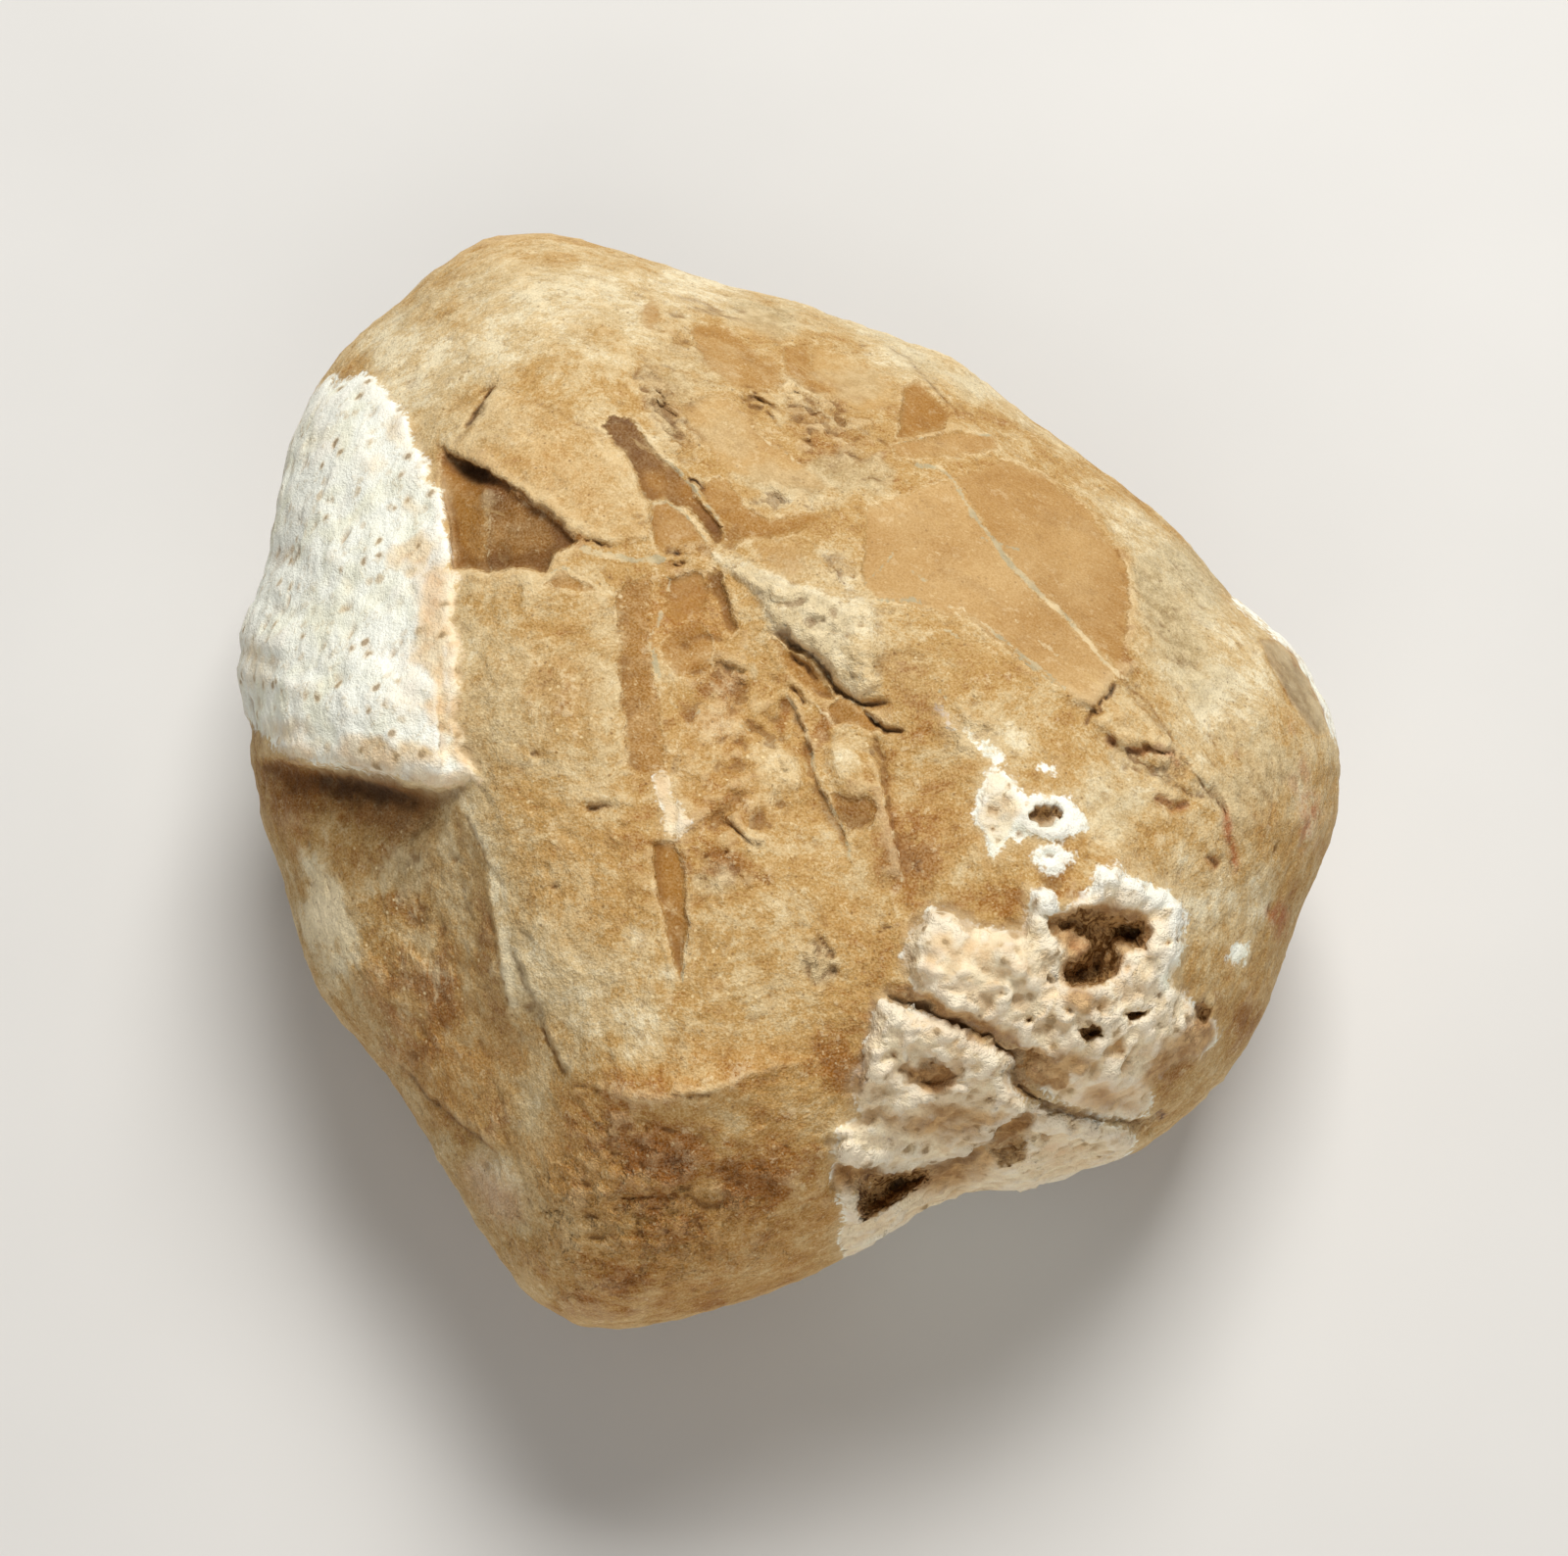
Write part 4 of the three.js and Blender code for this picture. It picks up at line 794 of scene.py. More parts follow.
    # painted shade: dark, brown and hollow colour in the trough under the ledge
    put('crack', i, e * 0.55 * np.exp(-((k - 5) / 9) ** 2) * sstep(-0.5, 0.3, wx[i]))
    put('brown_and_shade', i, e * 0.75 * sstep(-2, 4, k) * np.exp(-((k - 10) / 18) ** 2))
    put('cream', i, e * 0.9 * sstep(-2, 4, k) * np.exp(-((k - 14) / 26) ** 2))
    put('hollow_and_shade', i, e * 0.55 * sstep(0, 5, k) * np.exp(-((k - 10) / 11) ** 2) * sstep(0.0, 0.4, wy[i]))
    pocket("872 1234 876 1206 898 1196 926 1194 950 1196 942 1210 922 1222 898 1238 880 1250", 5.6, 9.0, 14, 1.0, 0.0)
    pocket("1006 1172 1030 1158 1056 1166 1044 1184 1022 1192", 2.0, 9.0, 14, 0.5, 0.1)
    i, sd = area("912 1080 930 1068 958 1074 980 1088 984 1106 960 1116 930 1112 912 1098", 30, 5)
    H[i] -= 1.8 * sstep(3, -14, sd)
    put('hollow_and_shade', i, 0.5 * sstep(3, -8, sd) * sstep(-0.35, 0.25, wx[i]))
    for cx, cy, r in [(912, 1076, 6), (946, 1102, 8), (930, 1094, 6), (962, 1090, 5), (952, 1084, 4), (1150, 988, 6), (1188, 962, 5), (1090, 1030, 6), (1070, 1000, 5), (1142, 1072, 5),
                      (1022, 1012, 4), (1010, 1120, 4), (1065, 1160, 5), (905, 1160, 4), (1000, 1035, 4), (1180, 1015, 5), (1160, 1008, 4), (975, 1062, 4), (1095, 1150, 4), (1120, 1160, 3)]:
        n = window(np.array([[cx, cy]]), 40)
        g = np.exp(-((X[n] - cx + 3 * wx[n]) ** 2 + (Y[n] - cy + 3 * wy[n]) ** 2) / r ** 2)
        H[n] -= 1.0 * g
        put('hollow_and_shade', n, 0.65 * g)
    # white ring: two small cups
    blob('grey', 1058, 838, 70, 56, 0, 0.9, 0.4)
    blob('grey', 1016, 826, 30, 44, 0, 0.8, 0.4)
    blob('grey', 1010, 768, 14, 18, 0, 0.8, 0.4)
    i, sd = area("1049 826 1056 819 1068 816 1080 818 1088 824 1088 837 1078 843 1060 843 1050 838", 30, 4)
    H[i] -= 2.0 * sstep(2, -10, sd)
    H[i] += 0.4 * np.exp(-((sd - 4) / 6) ** 2) * (0.6 + 0.8 * wx[i])
    # painted shade in the upper part of the cup, under its rim
    put('hollow_and_shade', i, 0.72 * sstep(1, -5, sd) * sstep(846, 828, Y[i] + 5 * wx[i]))
    put('crumb', i, 0.9 * sstep(2, -4, sd))
    i, sd = area("1060 872 1070 866 1080 871 1076 880 1064 880", 30, 1.5)
    H[i] -= 1.0 * sstep(2, -6, sd)
    put('hollow_and_shade', i, 0.4 * sstep(0, -4, sd))
    i, sd = area("1003 812 1016 806 1036 810 1038 828 1024 836 1006 834", 30, 7)
    H[i] -= 0.5 * sstep(3, -8, sd)
    H[i] += 0.5 * sstep(2, -4, sd) * fbm(X[i] / 9, Y[i] / 9, 4.0, 2, 111)
    put('cream', i, 0.45 * sstep(3, -6, sd) * sstep(-0.2, 0.3, wx[i]))
    put('crumb', i, 0.8 * sstep(2, -4, sd))
    for cx, cy in [(1013, 847), (1018, 858), (1040, 850), (1030, 802)]:
        n = window(np.array([[cx, cy]]), 20)
        g = np.exp(-((X[n] - cx) ** 2 + (Y[n] - cy) ** 2) / 3.4 ** 2)
        H[n] -= 0.8 * g
        put('hollow_and_shade', n, 0.75 * g)
    # translucent sliver at the right rim
    i, d, sdd, al = trace("1262 612 1290 634 1310 654 1330 679 1345 704 1356 730 1366 757", 50, 2)
    A['white'][i] = np.minimum(A['white'][i], (d - 4.6) / UNIT)
    i, sd = area("1284 652 1304 654 1322 672 1340 700 1350 722 1356 746 1344 752 1330 736 1312 706 1296 680", 30, 3)
    H[i] -= 0.8 * sstep(3, -6, sd)
    A['white'][i] = np.maximum(A['white'][i], np.minimum((-sd - 2) / UNIT, 2.0))
    put('grey', i, 1.0 * sstep(3, -3, sd))
    put('brown_and_shade', i, 1.5 * sstep(3, -5, sd))
    put('smooth', i, 0.8 * sstep(2, -4, sd))
    A['tone'] = np.clip(A['tone'] * (1 + 0.45 * fbm(X / 46, Y / 46, 9.0, 3, 112)), 0, 1.05)
    return H, A


PAD = ("318 402 330 390 343 382 352 390 362 385 373 380 383 387 392 395 400 408 410 417 418 425 421 440 420 450 430 458 436 468 "
       "438 480 436 490 448 497 452 512 456 525 452 540 460 555 462 570 456 580 470 586 468 600 464 615 462 635 468 650 472 665 "
       "468 680 470 700 466 720 462 735 472 745 478 755 470 765 482 775 488 790 493 798 480 796 455 805 440 803 425 797 395 792 "
       "365 785 345 783 310 777 295 772 280 762 268 752 258 742 220 700 220 600 250 500 290 420")
LOBE_A = ("1115 895 1122 885 1140 883 1150 893 1165 897 1185 903 1195 912 1205 920 1210 930 1215 940 1207 950 1210 965 1200 985 1195 1000 "
          "1205 1010 1215 1020 1222 1040 1240 1040 1245 1055 1235 1068 1225 1078 1205 1075 1190 1090 1175 1100 1175 1130 1150 1140 1110 1135 "
          "1075 1120 1040 1090 1050 1070 1030 1060 1000 1045 960 1035 935 1015 925 995 920 975 930 950 945 935 950 925 975 930 995 945 "
          "1020 950 1045 950 1048 925 1052 910 1065 905 1075 915 1078 930 1095 920 1110 910")
LOBE_B = ("895 1022 905 1017 920 1025 940 1038 960 1045 985 1052 1000 1062 1020 1070 1032 1078 1038 1090 1030 1105 1035 1115 1050 1125 "
          "1075 1133 1100 1140 1130 1148 1155 1155 1160 1165 1150 1180 1130 1190 1100 1205 1050 1225 1000 1240 960 1260 930 1275 905 1290 880 1300 862 1290 "
          "855 1265 862 1245 855 1220 848 1200 850 1180 855 1165 848 1155 865 1145 880 1140 875 1130 870 1105 880 1085 885 1065 890 1045")

# draw the points together where the relief is steep, then settle the relief on them
eu = E[up[E[:, 0]] & up[E[:, 1]]]
held = (T0 > 0.93) | ~up
def busy(px, py):
    v = 1.0 + 0.9 * np.exp(-((px - 1040) / 170) ** 2 - ((py - 1060) / 180) ** 2) + 0.6 * np.exp(-((px - 690) / 230) ** 2 - ((py - 560) / 190) ** 2)
    return v + 0.4 * np.exp(-((px - 680) / 150) ** 2 - ((py - 1220) / 110) ** 2)


for round_ in range(2):
    wb, full = base(PX[iu], PY[iu], np.ones(len(iu), bool))
    h, att = relief(PX[iu], PY[iu], wb)
    W = np.zeros(len(D))
    W[iu] = wb + h
    for inner in range(26):
        d2 = np.hypot(PX[eu[:, 0]] - PX[eu[:, 1]], PY[eu[:, 0]] - PY[eu[:, 1]]) / UNIT + 1e-6
        k = np.clip(np.sqrt(1 + ((W[eu[:, 0]] - W[eu[:, 1]]) / d2) ** 2), 1.0, 4.0) * busy(0.5 * (PX[eu[:, 0]] + PX[eu[:, 1]]), 0.5 * (PY[eu[:, 0]] + PY[eu[:, 1]]))
        den = np.bincount(eu[:, 0], k, len(D))
        nx = np.bincount(eu[:, 0], k * PX[eu[:, 1]], len(D)) / np.maximum(den, 1e-9)
        ny = np.bincount(eu[:, 0], k * PY[eu[:, 1]], len(D)) / np.maximum(den, 1e-9)
        PX = np.where(held, PX, PX + 0.5 * (nx - PX))
        PY = np.where(held, PY, PY + 0.5 * (ny - PY))
W, FULL = base(PX, PY, up)
H, A = relief(PX[iu], PY[iu], W[iu])
W[iu] += H * np.minimum(1.0, FULL[iu] * 2.0)

# ====================================================================== the under side
ib = np.nonzero(~up)[0]
B = {n: np.zeros(len(ib)) for n in NAMES}
B['white'][:] = 40.0
B['vein'][:] = 40.0
B['facet'][:] = 40.0
bx, by = PX[ib], PY[ib]
bw1 = fbm(bx / 22, by / 22, 31.5, 3, 121)
bw2 = fbm(bx / 22, by / 22, 39.5, 3, 122)
bw3 = fbm(bx / 60, by / 60, 44.5, 2, 123) * np.minimum(1.0, FULL[ib] * 3.0)
bw4 = fbm(bx / 60, by / 60, 47.5, 2, 124) * np.minimum(1.0, FULL[ib] * 3.0)
HB = np.zeros(len(ib))
for s_, rise in [("318 402 345 425 372 470 384 530 372 590 380 650 362 700 320 735 258 745 220 700 220 600 250 500 290 420", 0.9),
                 ("1262 612 1236 640 1232 690 1258 745 1310 780 1370 762 1390 700 1330 620 1290 600", 0.6),
                 ("862 1290 872 1235 905 1180 960 1150 1020 1165 1075 1150 1130 1160 1175 1150 1160 1200 1050 1240 960 1290", 0.8)]:
    sd = poly_sd(bx + bw1 * 9 + bw3 * 18, by + bw2 * 9 + bw4 * 18, pts(s_))
    B['white'] = np.minimum(B['white'], sd / UNIT)
    HB += rise * sstep(2, -10, sd)
for s_, wd, dp in [("480 620 560 660 610 640 700 690 760 680", 4, 1.2), ("900 560 960 640 1050 660 1120 720", 4, 1.1), ("620 980 700 1010 760 1080", 4, 1.0),
                   ("1000 860 1060 930 1040 1010", 4, 0.9), ("700 420 780 470 800 530", 4, 1.0)]:
    d, sdd, al = line_sd(bx + bw1 * 8, by + bw2 * 8, pts(s_))
    e = np.minimum(sstep(-0.02, 0.15, al), sstep(1.02, 0.85, al))
    HB -= dp * e * np.exp(-(d / wd) ** 2)
    HB += 0.8 * e * np.where(d * sdd > 0, np.exp(-(d / 50) ** 2), 0) * sstep(-3, 3, d * sdd)
    B['crack'] = np.maximum(B['crack'], 0.6 * e * np.exp(-(d / wd) ** 2))
for cx_, cy_, rx_, ry_, v_ in [(560, 520, 90, 70, 1.8), (1060, 640, 110, 80, 1.6), (520, 960, 80, 110, 1.6), (1080, 960, 90, 70, 1.5), (900, 420, 110, 50, 1.2)]:
    q = np.sqrt(((bx - cx_) / rx_) ** 2 + ((by - cy_) / ry_) ** 2) + 0.3 * bw1
    HB -= v_ * sstep(1.0, 0.2, q)
n1 = fbm(bx / 120, by / 120, 50.0, 3, 131)
n2 = fbm(bx / 120, by / 120, 60.0, 3, 132)
B['brown_and_shade'] = np.clip(0.45 + 0.9 * n1, 0, 1)
B['pale_and_highlight'] = np.clip(0.15 + 1.0 * n2, 0, 0.8)
B['amber'] = sstep(0.15, 0.5, fbm(bx / 90, by / 90, 70.0, 2, 133)) * 0.5
B['pits'] = sstep(0.1, 0.5, fbm(bx / 140, by / 140, 80.0, 2, 134)) * 0.8
B['red_and_shade'] = sstep(0.42, 0.62, fbm(bx / 60, by / 60, 90.0, 3, 135)) * 0.6
for n in ('brown_and_shade', 'amber', 'red_and_shade', 'pits'):
    B[n] *= sstep(-1.0, 1.5, B['white'])
rimfade = np.minimum(1.0, FULL[ib] * 2.0)
W[ib] -= HB * rimfade

P = to_world(PX, PY, W)
ATT = {n: np.zeros(len(P)) for n in NAMES}
for n in NAMES:
    ATT[n][iu] = A[n]
    ATT[n][ib] = B[n]
# carry the stains of the upper side round the rim and let them run out underneath
polar = np.arccos(np.clip(D[:, 2], -1, 1))
away = np.where(up, 1.0, sstep(0.0, 0.42, (polar - math.acos(ZC)) / (math.pi - math.acos(ZC))))
pull = np.where(up, 1.0, 0.10 * away ** 2)
for n in ('cream', 'brown_and_shade', 'pale_and_highlight', 'amber', 'grey', 'red_and_shade', 'pink', 'pits', 'smooth', 'crumb', 'fleck', 'gold'):
    keep_ = ATT[n].copy()
    v_ = keep_.copy()
    for _ in range(90):
        v_ = v_ + (1 - pull) * (np.bincount(E[:, 0], v_[E[:, 1]], len(v_)) / DEG - v_) + pull * (keep_ - v_)
    ATT[n] = v_


# ====================================================================== fine relief along the normals
def normals(P):
    a, b, c = P[FACES[:, 0]], P[FACES[:, 1]], P[FACES[:, 2]]
    fn = np.cross(b - a, c - a)
    n = np.zeros_like(P)
    for k in range(3):
        for ax in range(3):
            n[:, ax] += np.bincount(FACES[:, k], fn[:, ax], len(P))
    return n / np.maximum(np.linalg.norm(n, axis=1, keepdims=True), 1e-12)


def smooth(v, times):
    v = v.copy()
    for _ in range(times):
        if v.ndim == 1:
            v = 0.5 * v + 0.5 * np.bincount(E[:, 0], v[E[:, 1]], len(v)) / DEG
        else:
            v = 0.5 * v + 0.5 * np.stack([np.bincount(E[:, 0], v[E[:, 1], k], len(v)) for k in range(v.shape[1])], -1) / DEG[:, None]
    return v


N0 = normals(smooth(P, 3))
white = sstep(0.25, -0.45, ATT['white'] + 0.25 * fbm(P[:, 0] / 1.6, P[:, 1] / 1.6, P[:, 2] / 1.6, 2, 141))
calm = np.clip(ATT['smooth'], 0, 1)
crumb = np.clip(ATT['crumb'], 0, 1) * (1 - 0.8 * calm)
x, y, z = P.T
disp = (0.26 * (1 - 0.6 * calm) * fbm(x / 9, y / 9, z / 9, 3, 151)
        + (1 - 0.85 * calm) * (0.15 * fbm(x / 2.6, y / 2.6, z / 2.6, 3, 152) + 0.075 * vnoise(x / 0.9, y / 0.9, z / 0.9, 153)))
# small chips, each with its own height and lean
for size, high, seed in ((2.8, 0.62, 155), (1.4, 0.34, 156)):
    f1, f2, ident, off = worley(P / size + 0.35 * fbm(x / size, y / size, z / size, 2, seed + 40)[:, None], seed)
    lean = off[:, 0] * (np.mod(ident * 7.7, 1) - 0.5) + off[:, 1] * (np.mod(ident * 13.3, 1) - 0.5) + off[:, 2] * (np.mod(ident * 29.1, 1) - 0.5)
    disp += (crumb + 0.16 * (1 - calm) * (1 - white)) * high * ((ident - 0.5) * 1.5 + lean * 1.6)
# sparse pocks in the tan stone
f1, f2, ident, off = worley(P / 3.4, 161)
disp -= (1 - white) * (1 - calm) * 0.26 * sstep(0.34, 0.10, f1) * (ident > 0.72)
# close pits where the stone is porous
q = P / np.array([2.0, 1.5, 1.3])
f1, f2, ident, off = worley(q, 162)
disp -= (1 - white) * ATT['pits'] * 0.42 * sstep(0.46, 0.10, f1) * (ident > 0.35)
disp += (1 - white) * np.clip(ATT['pits'], 0, 1) * (0.34 * fbm(x / 4.2, y / 3.2, z / 3.2, 2, 163) + 0.30 * np.abs(fbm(x / 2.0, y / 1.5, z / 1.5, 2, 164)))
# painted shade: the pit bottoms, darkened later through the crack mask
pit_shade = (1 - white) * ATT['pits'] * sstep(0.30, 0.05, f1) * (ident > 0.35)
# chalky rind: pitted like a sponge
fw = white * (1 - 0.6 * calm)
f1, f2, ident, off = worley(P / 2.9 + 0.4 * fbm(x / 2.4, y / 2.4, z / 2.4, 2, 175)[:, None], 171)
pit_a = sstep(0.42, 0.08, f1) * (ident > 0.52)
patch = sstep(-0.35, 0.35, fbm(x / 7, y / 7, z / 7, 2, 177))
disp -= fw * 0.5 * pit_a * (0.3 + 0.7 * patch)
disp += fw * (0.45 * fbm(x / 5.0, y / 5.0, z / 5.0, 2, 173, 0.5) + 0.12 * fbm(x / 1.8, y / 1.8, z / 1.8, 2, 174) * (0.4 + 1.2 * crumb))
ATT['crack'] = np.maximum(ATT['crack'], 0.06 * pit_shade)
rindpit = fw * pit_a * (0.3 + 0.7 * patch)
P = P + N0 * disp[:, None]

# flat spot underneath
lowest = P[:, 2] < 0.0
P[:, 2] = np.where(P[:, 2] < 0.6, np.maximum(P[:, 2], 0.0) * 0.5 + np.maximum(P[:, 2], 0.0) ** 2 / 1.2, P[:, 2])
P[:, 2] = np.maximum(P[:, 2], 0.0)

# how far each point stands out of its surroundings
N1 = normals(P)
ATT['convex'] = ((P - smooth(P, 24)) * N1).sum(1)
NAMES.append('convex')
ATT['rindpit'] = rindpit
NAMES.append('rindpit')
ATT['cavity'] = ((P - smooth(P, 110)) * N1).sum(1)
NAMES.append('cavity')

# ====================================================================== the mesh
me = bpy.data.meshes.new("chert_nodule")
me.vertices.add(len(P))
me.vertices.foreach_set("co", (P * 0.001).astype(np.float32).ravel())
me.loops.add(len(FACES) * 3)
me.loops.foreach_set("vertex_index", FACES.astype(np.int32).ravel())
me.polygons.add(len(FACES))
me.polygons.foreach_set("loop_start", np.arange(0, len(FACES) * 3, 3, dtype=np.int32))
me.update(calc_edges=True)
me.polygons.foreach_set("use_smooth", np.ones(len(FACES), bool))
for n in NAMES:
    at = me.attributes.new(n, 'FLOAT', 'POINT')
    at.data.foreach_set("value", ATT[n].astype(np.float32))
# two charts, one for each side, laid out from the middle of the side
uv = me.uv_layers.new(name="OFBake")
th = np.arccos(np.clip(D[:, 2], -1, 1))
th_eq = math.acos(ZC)
fup = up[FACES].sum(1) >= 2
rho = np.where(fup[:, None], th[FACES] / th_eq * 0.335, (math.pi - th[FACES]) / (math.pi - th_eq) * 0.185)
cu = np.where(fup, 0.36, 0.795)[:, None]
cv = np.where(fup, 0.36, 0.795)[:, None]
uvs = np.stack([cu + rho * np.cos(ang[FACES]) * np.where(fup, 1, -1)[:, None], cv + rho * np.sin(ang[FACES])], -1)
uv.data.foreach_set("uv", uvs.astype(np.float32).ravel())
me.validate()
nodule = bpy.data.objects.new("chert_nodule", me)
bpy.context.scene.collection.objects.link(nodule)


# ====================================================================== materials
def lin(r, g, b):
    def f(c):
        c /= 255.0
        return c / 12.92 if c <= 0.04045 else ((c + 0.055) / 1.055) ** 2.4
    return (f(r), f(g), f(b), 1.0)


class Nodes:
    def __init__(self, name):
        self.mat = bpy.data.materials.new(name)
        self.mat.use_nodes = True
        self.t = self.mat.node_tree
        self.bsdf = self.t.nodes["Principled BSDF"]
        self.co = self.t.nodes.new('ShaderNodeTexCoord').outputs['Object']

    def link(self, a, b):
        if hasattr(a, 'is_output'):
            self.t.links.new(a, b)
        else:
            b.default_value = a

    def noise(self, mm, detail=3.0, rough=0.55, dist=0.0, vec=None, kind='FBM'):
        n = self.t.nodes.new('ShaderNodeTexNoise')
        n.inputs['Scale'].default_value = 1000.0 / mm
        n.inputs['Detail'].default_value = detail
        n.inputs['Roughness'].default_value = rough
        n.inputs['Distortion'].default_value = dist
        self.t.links.new(vec or self.co, n.inputs['Vector'])
        return n.outputs['Fac']

    def voronoi(self, mm, feature='F1', rnd=1.0, vec=None, out='Distance'):
        n = self.t.nodes.new('ShaderNodeTexVoronoi')
        n.feature = feature
        n.inputs['Scale'].default_value = 1000.0 / mm
        n.inputs['Randomness'].default_value = rnd
        self.t.links.new(vec or self.co, n.inputs['Vector'])
        return n.outputs[out]

    def cells(self, mm, vec=None):
        n = self.t.nodes.new('ShaderNodeTexVoronoi')
        n.inputs['Scale'].default_value = 1000.0 / mm
        self.t.links.new(vec or self.co, n.inputs['Vector'])
        return n.outputs['Distance'], n.outputs['Color']

    def warp(self, mm, by):
        n = self.t.nodes.new('ShaderNodeTexNoise')
        n.inputs['Scale'].default_value = 1000.0 / mm
        n.inputs['Detail'].default_value = 2.0
        self.t.links.new(self.co, n.inputs['Vector'])
        v = self.t.nodes.new('ShaderNodeVectorMath')
        v.operation = 'MULTIPLY_ADD'
        self.t.links.new(n.outputs['Color'], v.inputs[0])
        v.inputs[1].default_value = (by * 0.001,) * 3
        self.t.links.new(self.co, v.inputs[2])
        return v.outputs[0]

    def slant(self, turn, scale):
        n = self.t.nodes.new('ShaderNodeMapping')
        n.vector_type = 'TEXTURE'
        n.inputs['Rotation'].default_value = (0.0, 0.0, math.radians(turn))
        n.inputs['Scale'].default_value = scale
        self.t.links.new(self.co, n.inputs['Vector'])
        return n.outputs[0]

    def stretch(self, scale):
        n = self.t.nodes.new('ShaderNodeMapping')
        n.inputs['Scale'].default_value = scale
        self.t.links.new(self.co, n.inputs['Vector'])
        return n.outputs['Vector']

    def attr(self, name):
        n = self.t.nodes.new('ShaderNodeAttribute')
        n.attribute_name = name
        return n.outputs['Fac']

    def math(self, op, a, b=0.0, c=0.0, clamp=False):
        n = self.t.nodes.new('ShaderNodeMath')
        n.operation = op
        n.use_clamp = clamp
        self.link(a, n.inputs[0])
        self.link(b, n.inputs[1])
        self.link(c, n.inputs[2])
        return n.outputs[0]

    def span(self, v, a, b, lo=0.0, hi=1.0):
        n = self.t.nodes.new('ShaderNodeMapRange')
        n.interpolation_type = 'SMOOTHSTEP'
        self.link(v, n.inputs['Value'])
        n.inputs['From Min'].default_value = a
        n.inputs['From Max'].default_value = b
        n.inputs['To Min'].default_value = lo
        n.inputs['To Max'].default_value = hi
        return n.outputs['Result']

    def mix(self, f, a, b, blend='MIX'):
        n = self.t.nodes.new('ShaderNodeMix')
        n.data_type = 'RGBA'
        n.blend_type = blend
        self.link(f, n.inputs[0])
        self.link(a, n.inputs[6])
        self.link(b, n.inputs[7])
        return n.outputs[2]

    def bump(self, h, strength, dist, normal=None):
        n = self.t.nodes.new('ShaderNodeBump')
        n.inputs['Strength'].default_value = strength
        n.inputs['Distance'].default_value = dist
        self.t.links.new(h, n.inputs['Height'])
        if normal:
            self.t.links.new(normal, n.inputs['Normal'])
        return n.outputs['Normal']


g = Nodes("weathered_chert")
big = g.noise(24, 2, 0.55)
mid = g.noise(7.5, 3, 0.55, 0.5)
mott = g.noise(11.0, 6, 0.94, 0.25, g.stretch((0.8, 1.0, 1.3)))
rock = g.noise(2.6, 4, 0.80)
small = g.noise(2.2, 3, 0.62)
grain = g.noise(0.55, 1, 0.6)
sand = g.noise(0.27, 0, 0.5)
near, tint = g.cells(1.0)
pored, porec = g.cells(2.3, g.warp(2.0, 1.2))
bent = g.warp(3.0, 2.2)
chipd, chipc = g.cells(3.0, bent)
calmer = g.math('SUBTRACT', 1.0, g.math('MULTIPLY', g.attr('smooth'), 0.65), clamp=True)


def ragged(name, a, b, m=0.8, k=0.5):
    """the mask of that name with its edge broken up by the grain of the stone"""
    v = g.math('ADD', g.attr(name), g.math('MULTIPLY', g.math('SUBTRACT', mid, 0.5), m))
    v = g.math('ADD', v, g.math('MULTIPLY', g.math('SUBTRACT', small, 0.5), k))
    return g.span(v, a, b)


def both(f, a, b):
    return g.mix(f, lin(*a), lin(*b))


def ramp(v, stops):
    c = lin(*stops[0][1])
    for (p0, _), (p1, c1) in zip(stops, stops[1:]):
        c = g.mix(g.span(v, p0, p1), c, lin(*c1))
    return c


fine_mix = g.span(small, 0.34, 0.66)
# weathered tan stone: one mottle runs from brown through orange and tan to cream, and the masks move along it
lev = g.math('MULTIPLY', g.math('SUBTRACT', mott, 0.5), g.math('ADD', 0.55, g.math('MULTIPLY', calmer, 0.55)))
lev = g.math('ADD', lev, g.math('MULTIPLY', g.math('SUBTRACT', big, 0.5), 0.45))
lev = g.math('ADD', lev, g.math('MULTIPLY', g.attr('pale_and_highlight'), 0.24))
lev = g.math('SUBTRACT', lev, g.math('MULTIPLY', g.attr('brown_and_shade'), 0.30))
lev = g.math('ADD', g.math('SUBTRACT', lev, g.math('MULTIPLY', g.attr('gold'), 0.03)), 0.5)
col = ramp(lev, [(0.02, (100, 55, 9)), (0.28, (155, 102, 36)), (0.46, (189, 149, 87)), (0.58, (208, 181, 133)), (0.76, (238, 225, 191)), (1.10, (252, 242, 212))])
col = g.mix(g.math('MULTIPLY', g.attr('gold'), 0.45), col, g.mix(1.0, col, lin(255, 222, 158), 'MULTIPLY'))
dull = g.math('ADD', g.math('MULTIPLY', g.span(big, 0.48, 0.66), 0.30), g.math('MULTIPLY', ragged('grey', 0.25, 0.8, 0.5, 0.7), 0.75))
dull = g.math('MULTIPLY', dull, g.math('SUBTRACT', 1.0, g.math('MULTIPLY', g.attr('gold'), 0.55), clamp=True))
col = g.mix(dull, col, g.mix(0.8, col, both(fine_mix, (168, 148, 108), (212, 194, 154))))
# glassy broken faces
toned = ramp(g.attr('tone'), [(0.0, (209, 174, 120)), (0.5, (158, 107, 36)), (1.0, (92, 50, 5))])
toned = g.mix(g.span(mott, 0.42, 0.68, 0.0, 0.26), toned, g.mix(0.5, toned, lin(228, 188, 126)))
toned = g.mix(g.span(mid, 0.52, 0.72, 0.0, 0.45), toned, g.mix(0.5, toned, lin(112, 66, 22)))
fsd = g.math('ADD', g.attr('facet'), g.math('MULTIPLY', g.math('SUBTRACT', small, 0.5), 1.3))
fsd = g.math('ADD', fsd, g.math('MULTIPLY', g.math('SUBTRACT', grain, 0.5), 0.7))
inface = g.span(g.math('DIVIDE', fsd, g.span(mid, 0.36, 0.62, 0.7, 3.0)), 0.25, -0.35)
col = g.mix(g.math('MULTIPLY', inface, g.attr('amber')), col, toned)
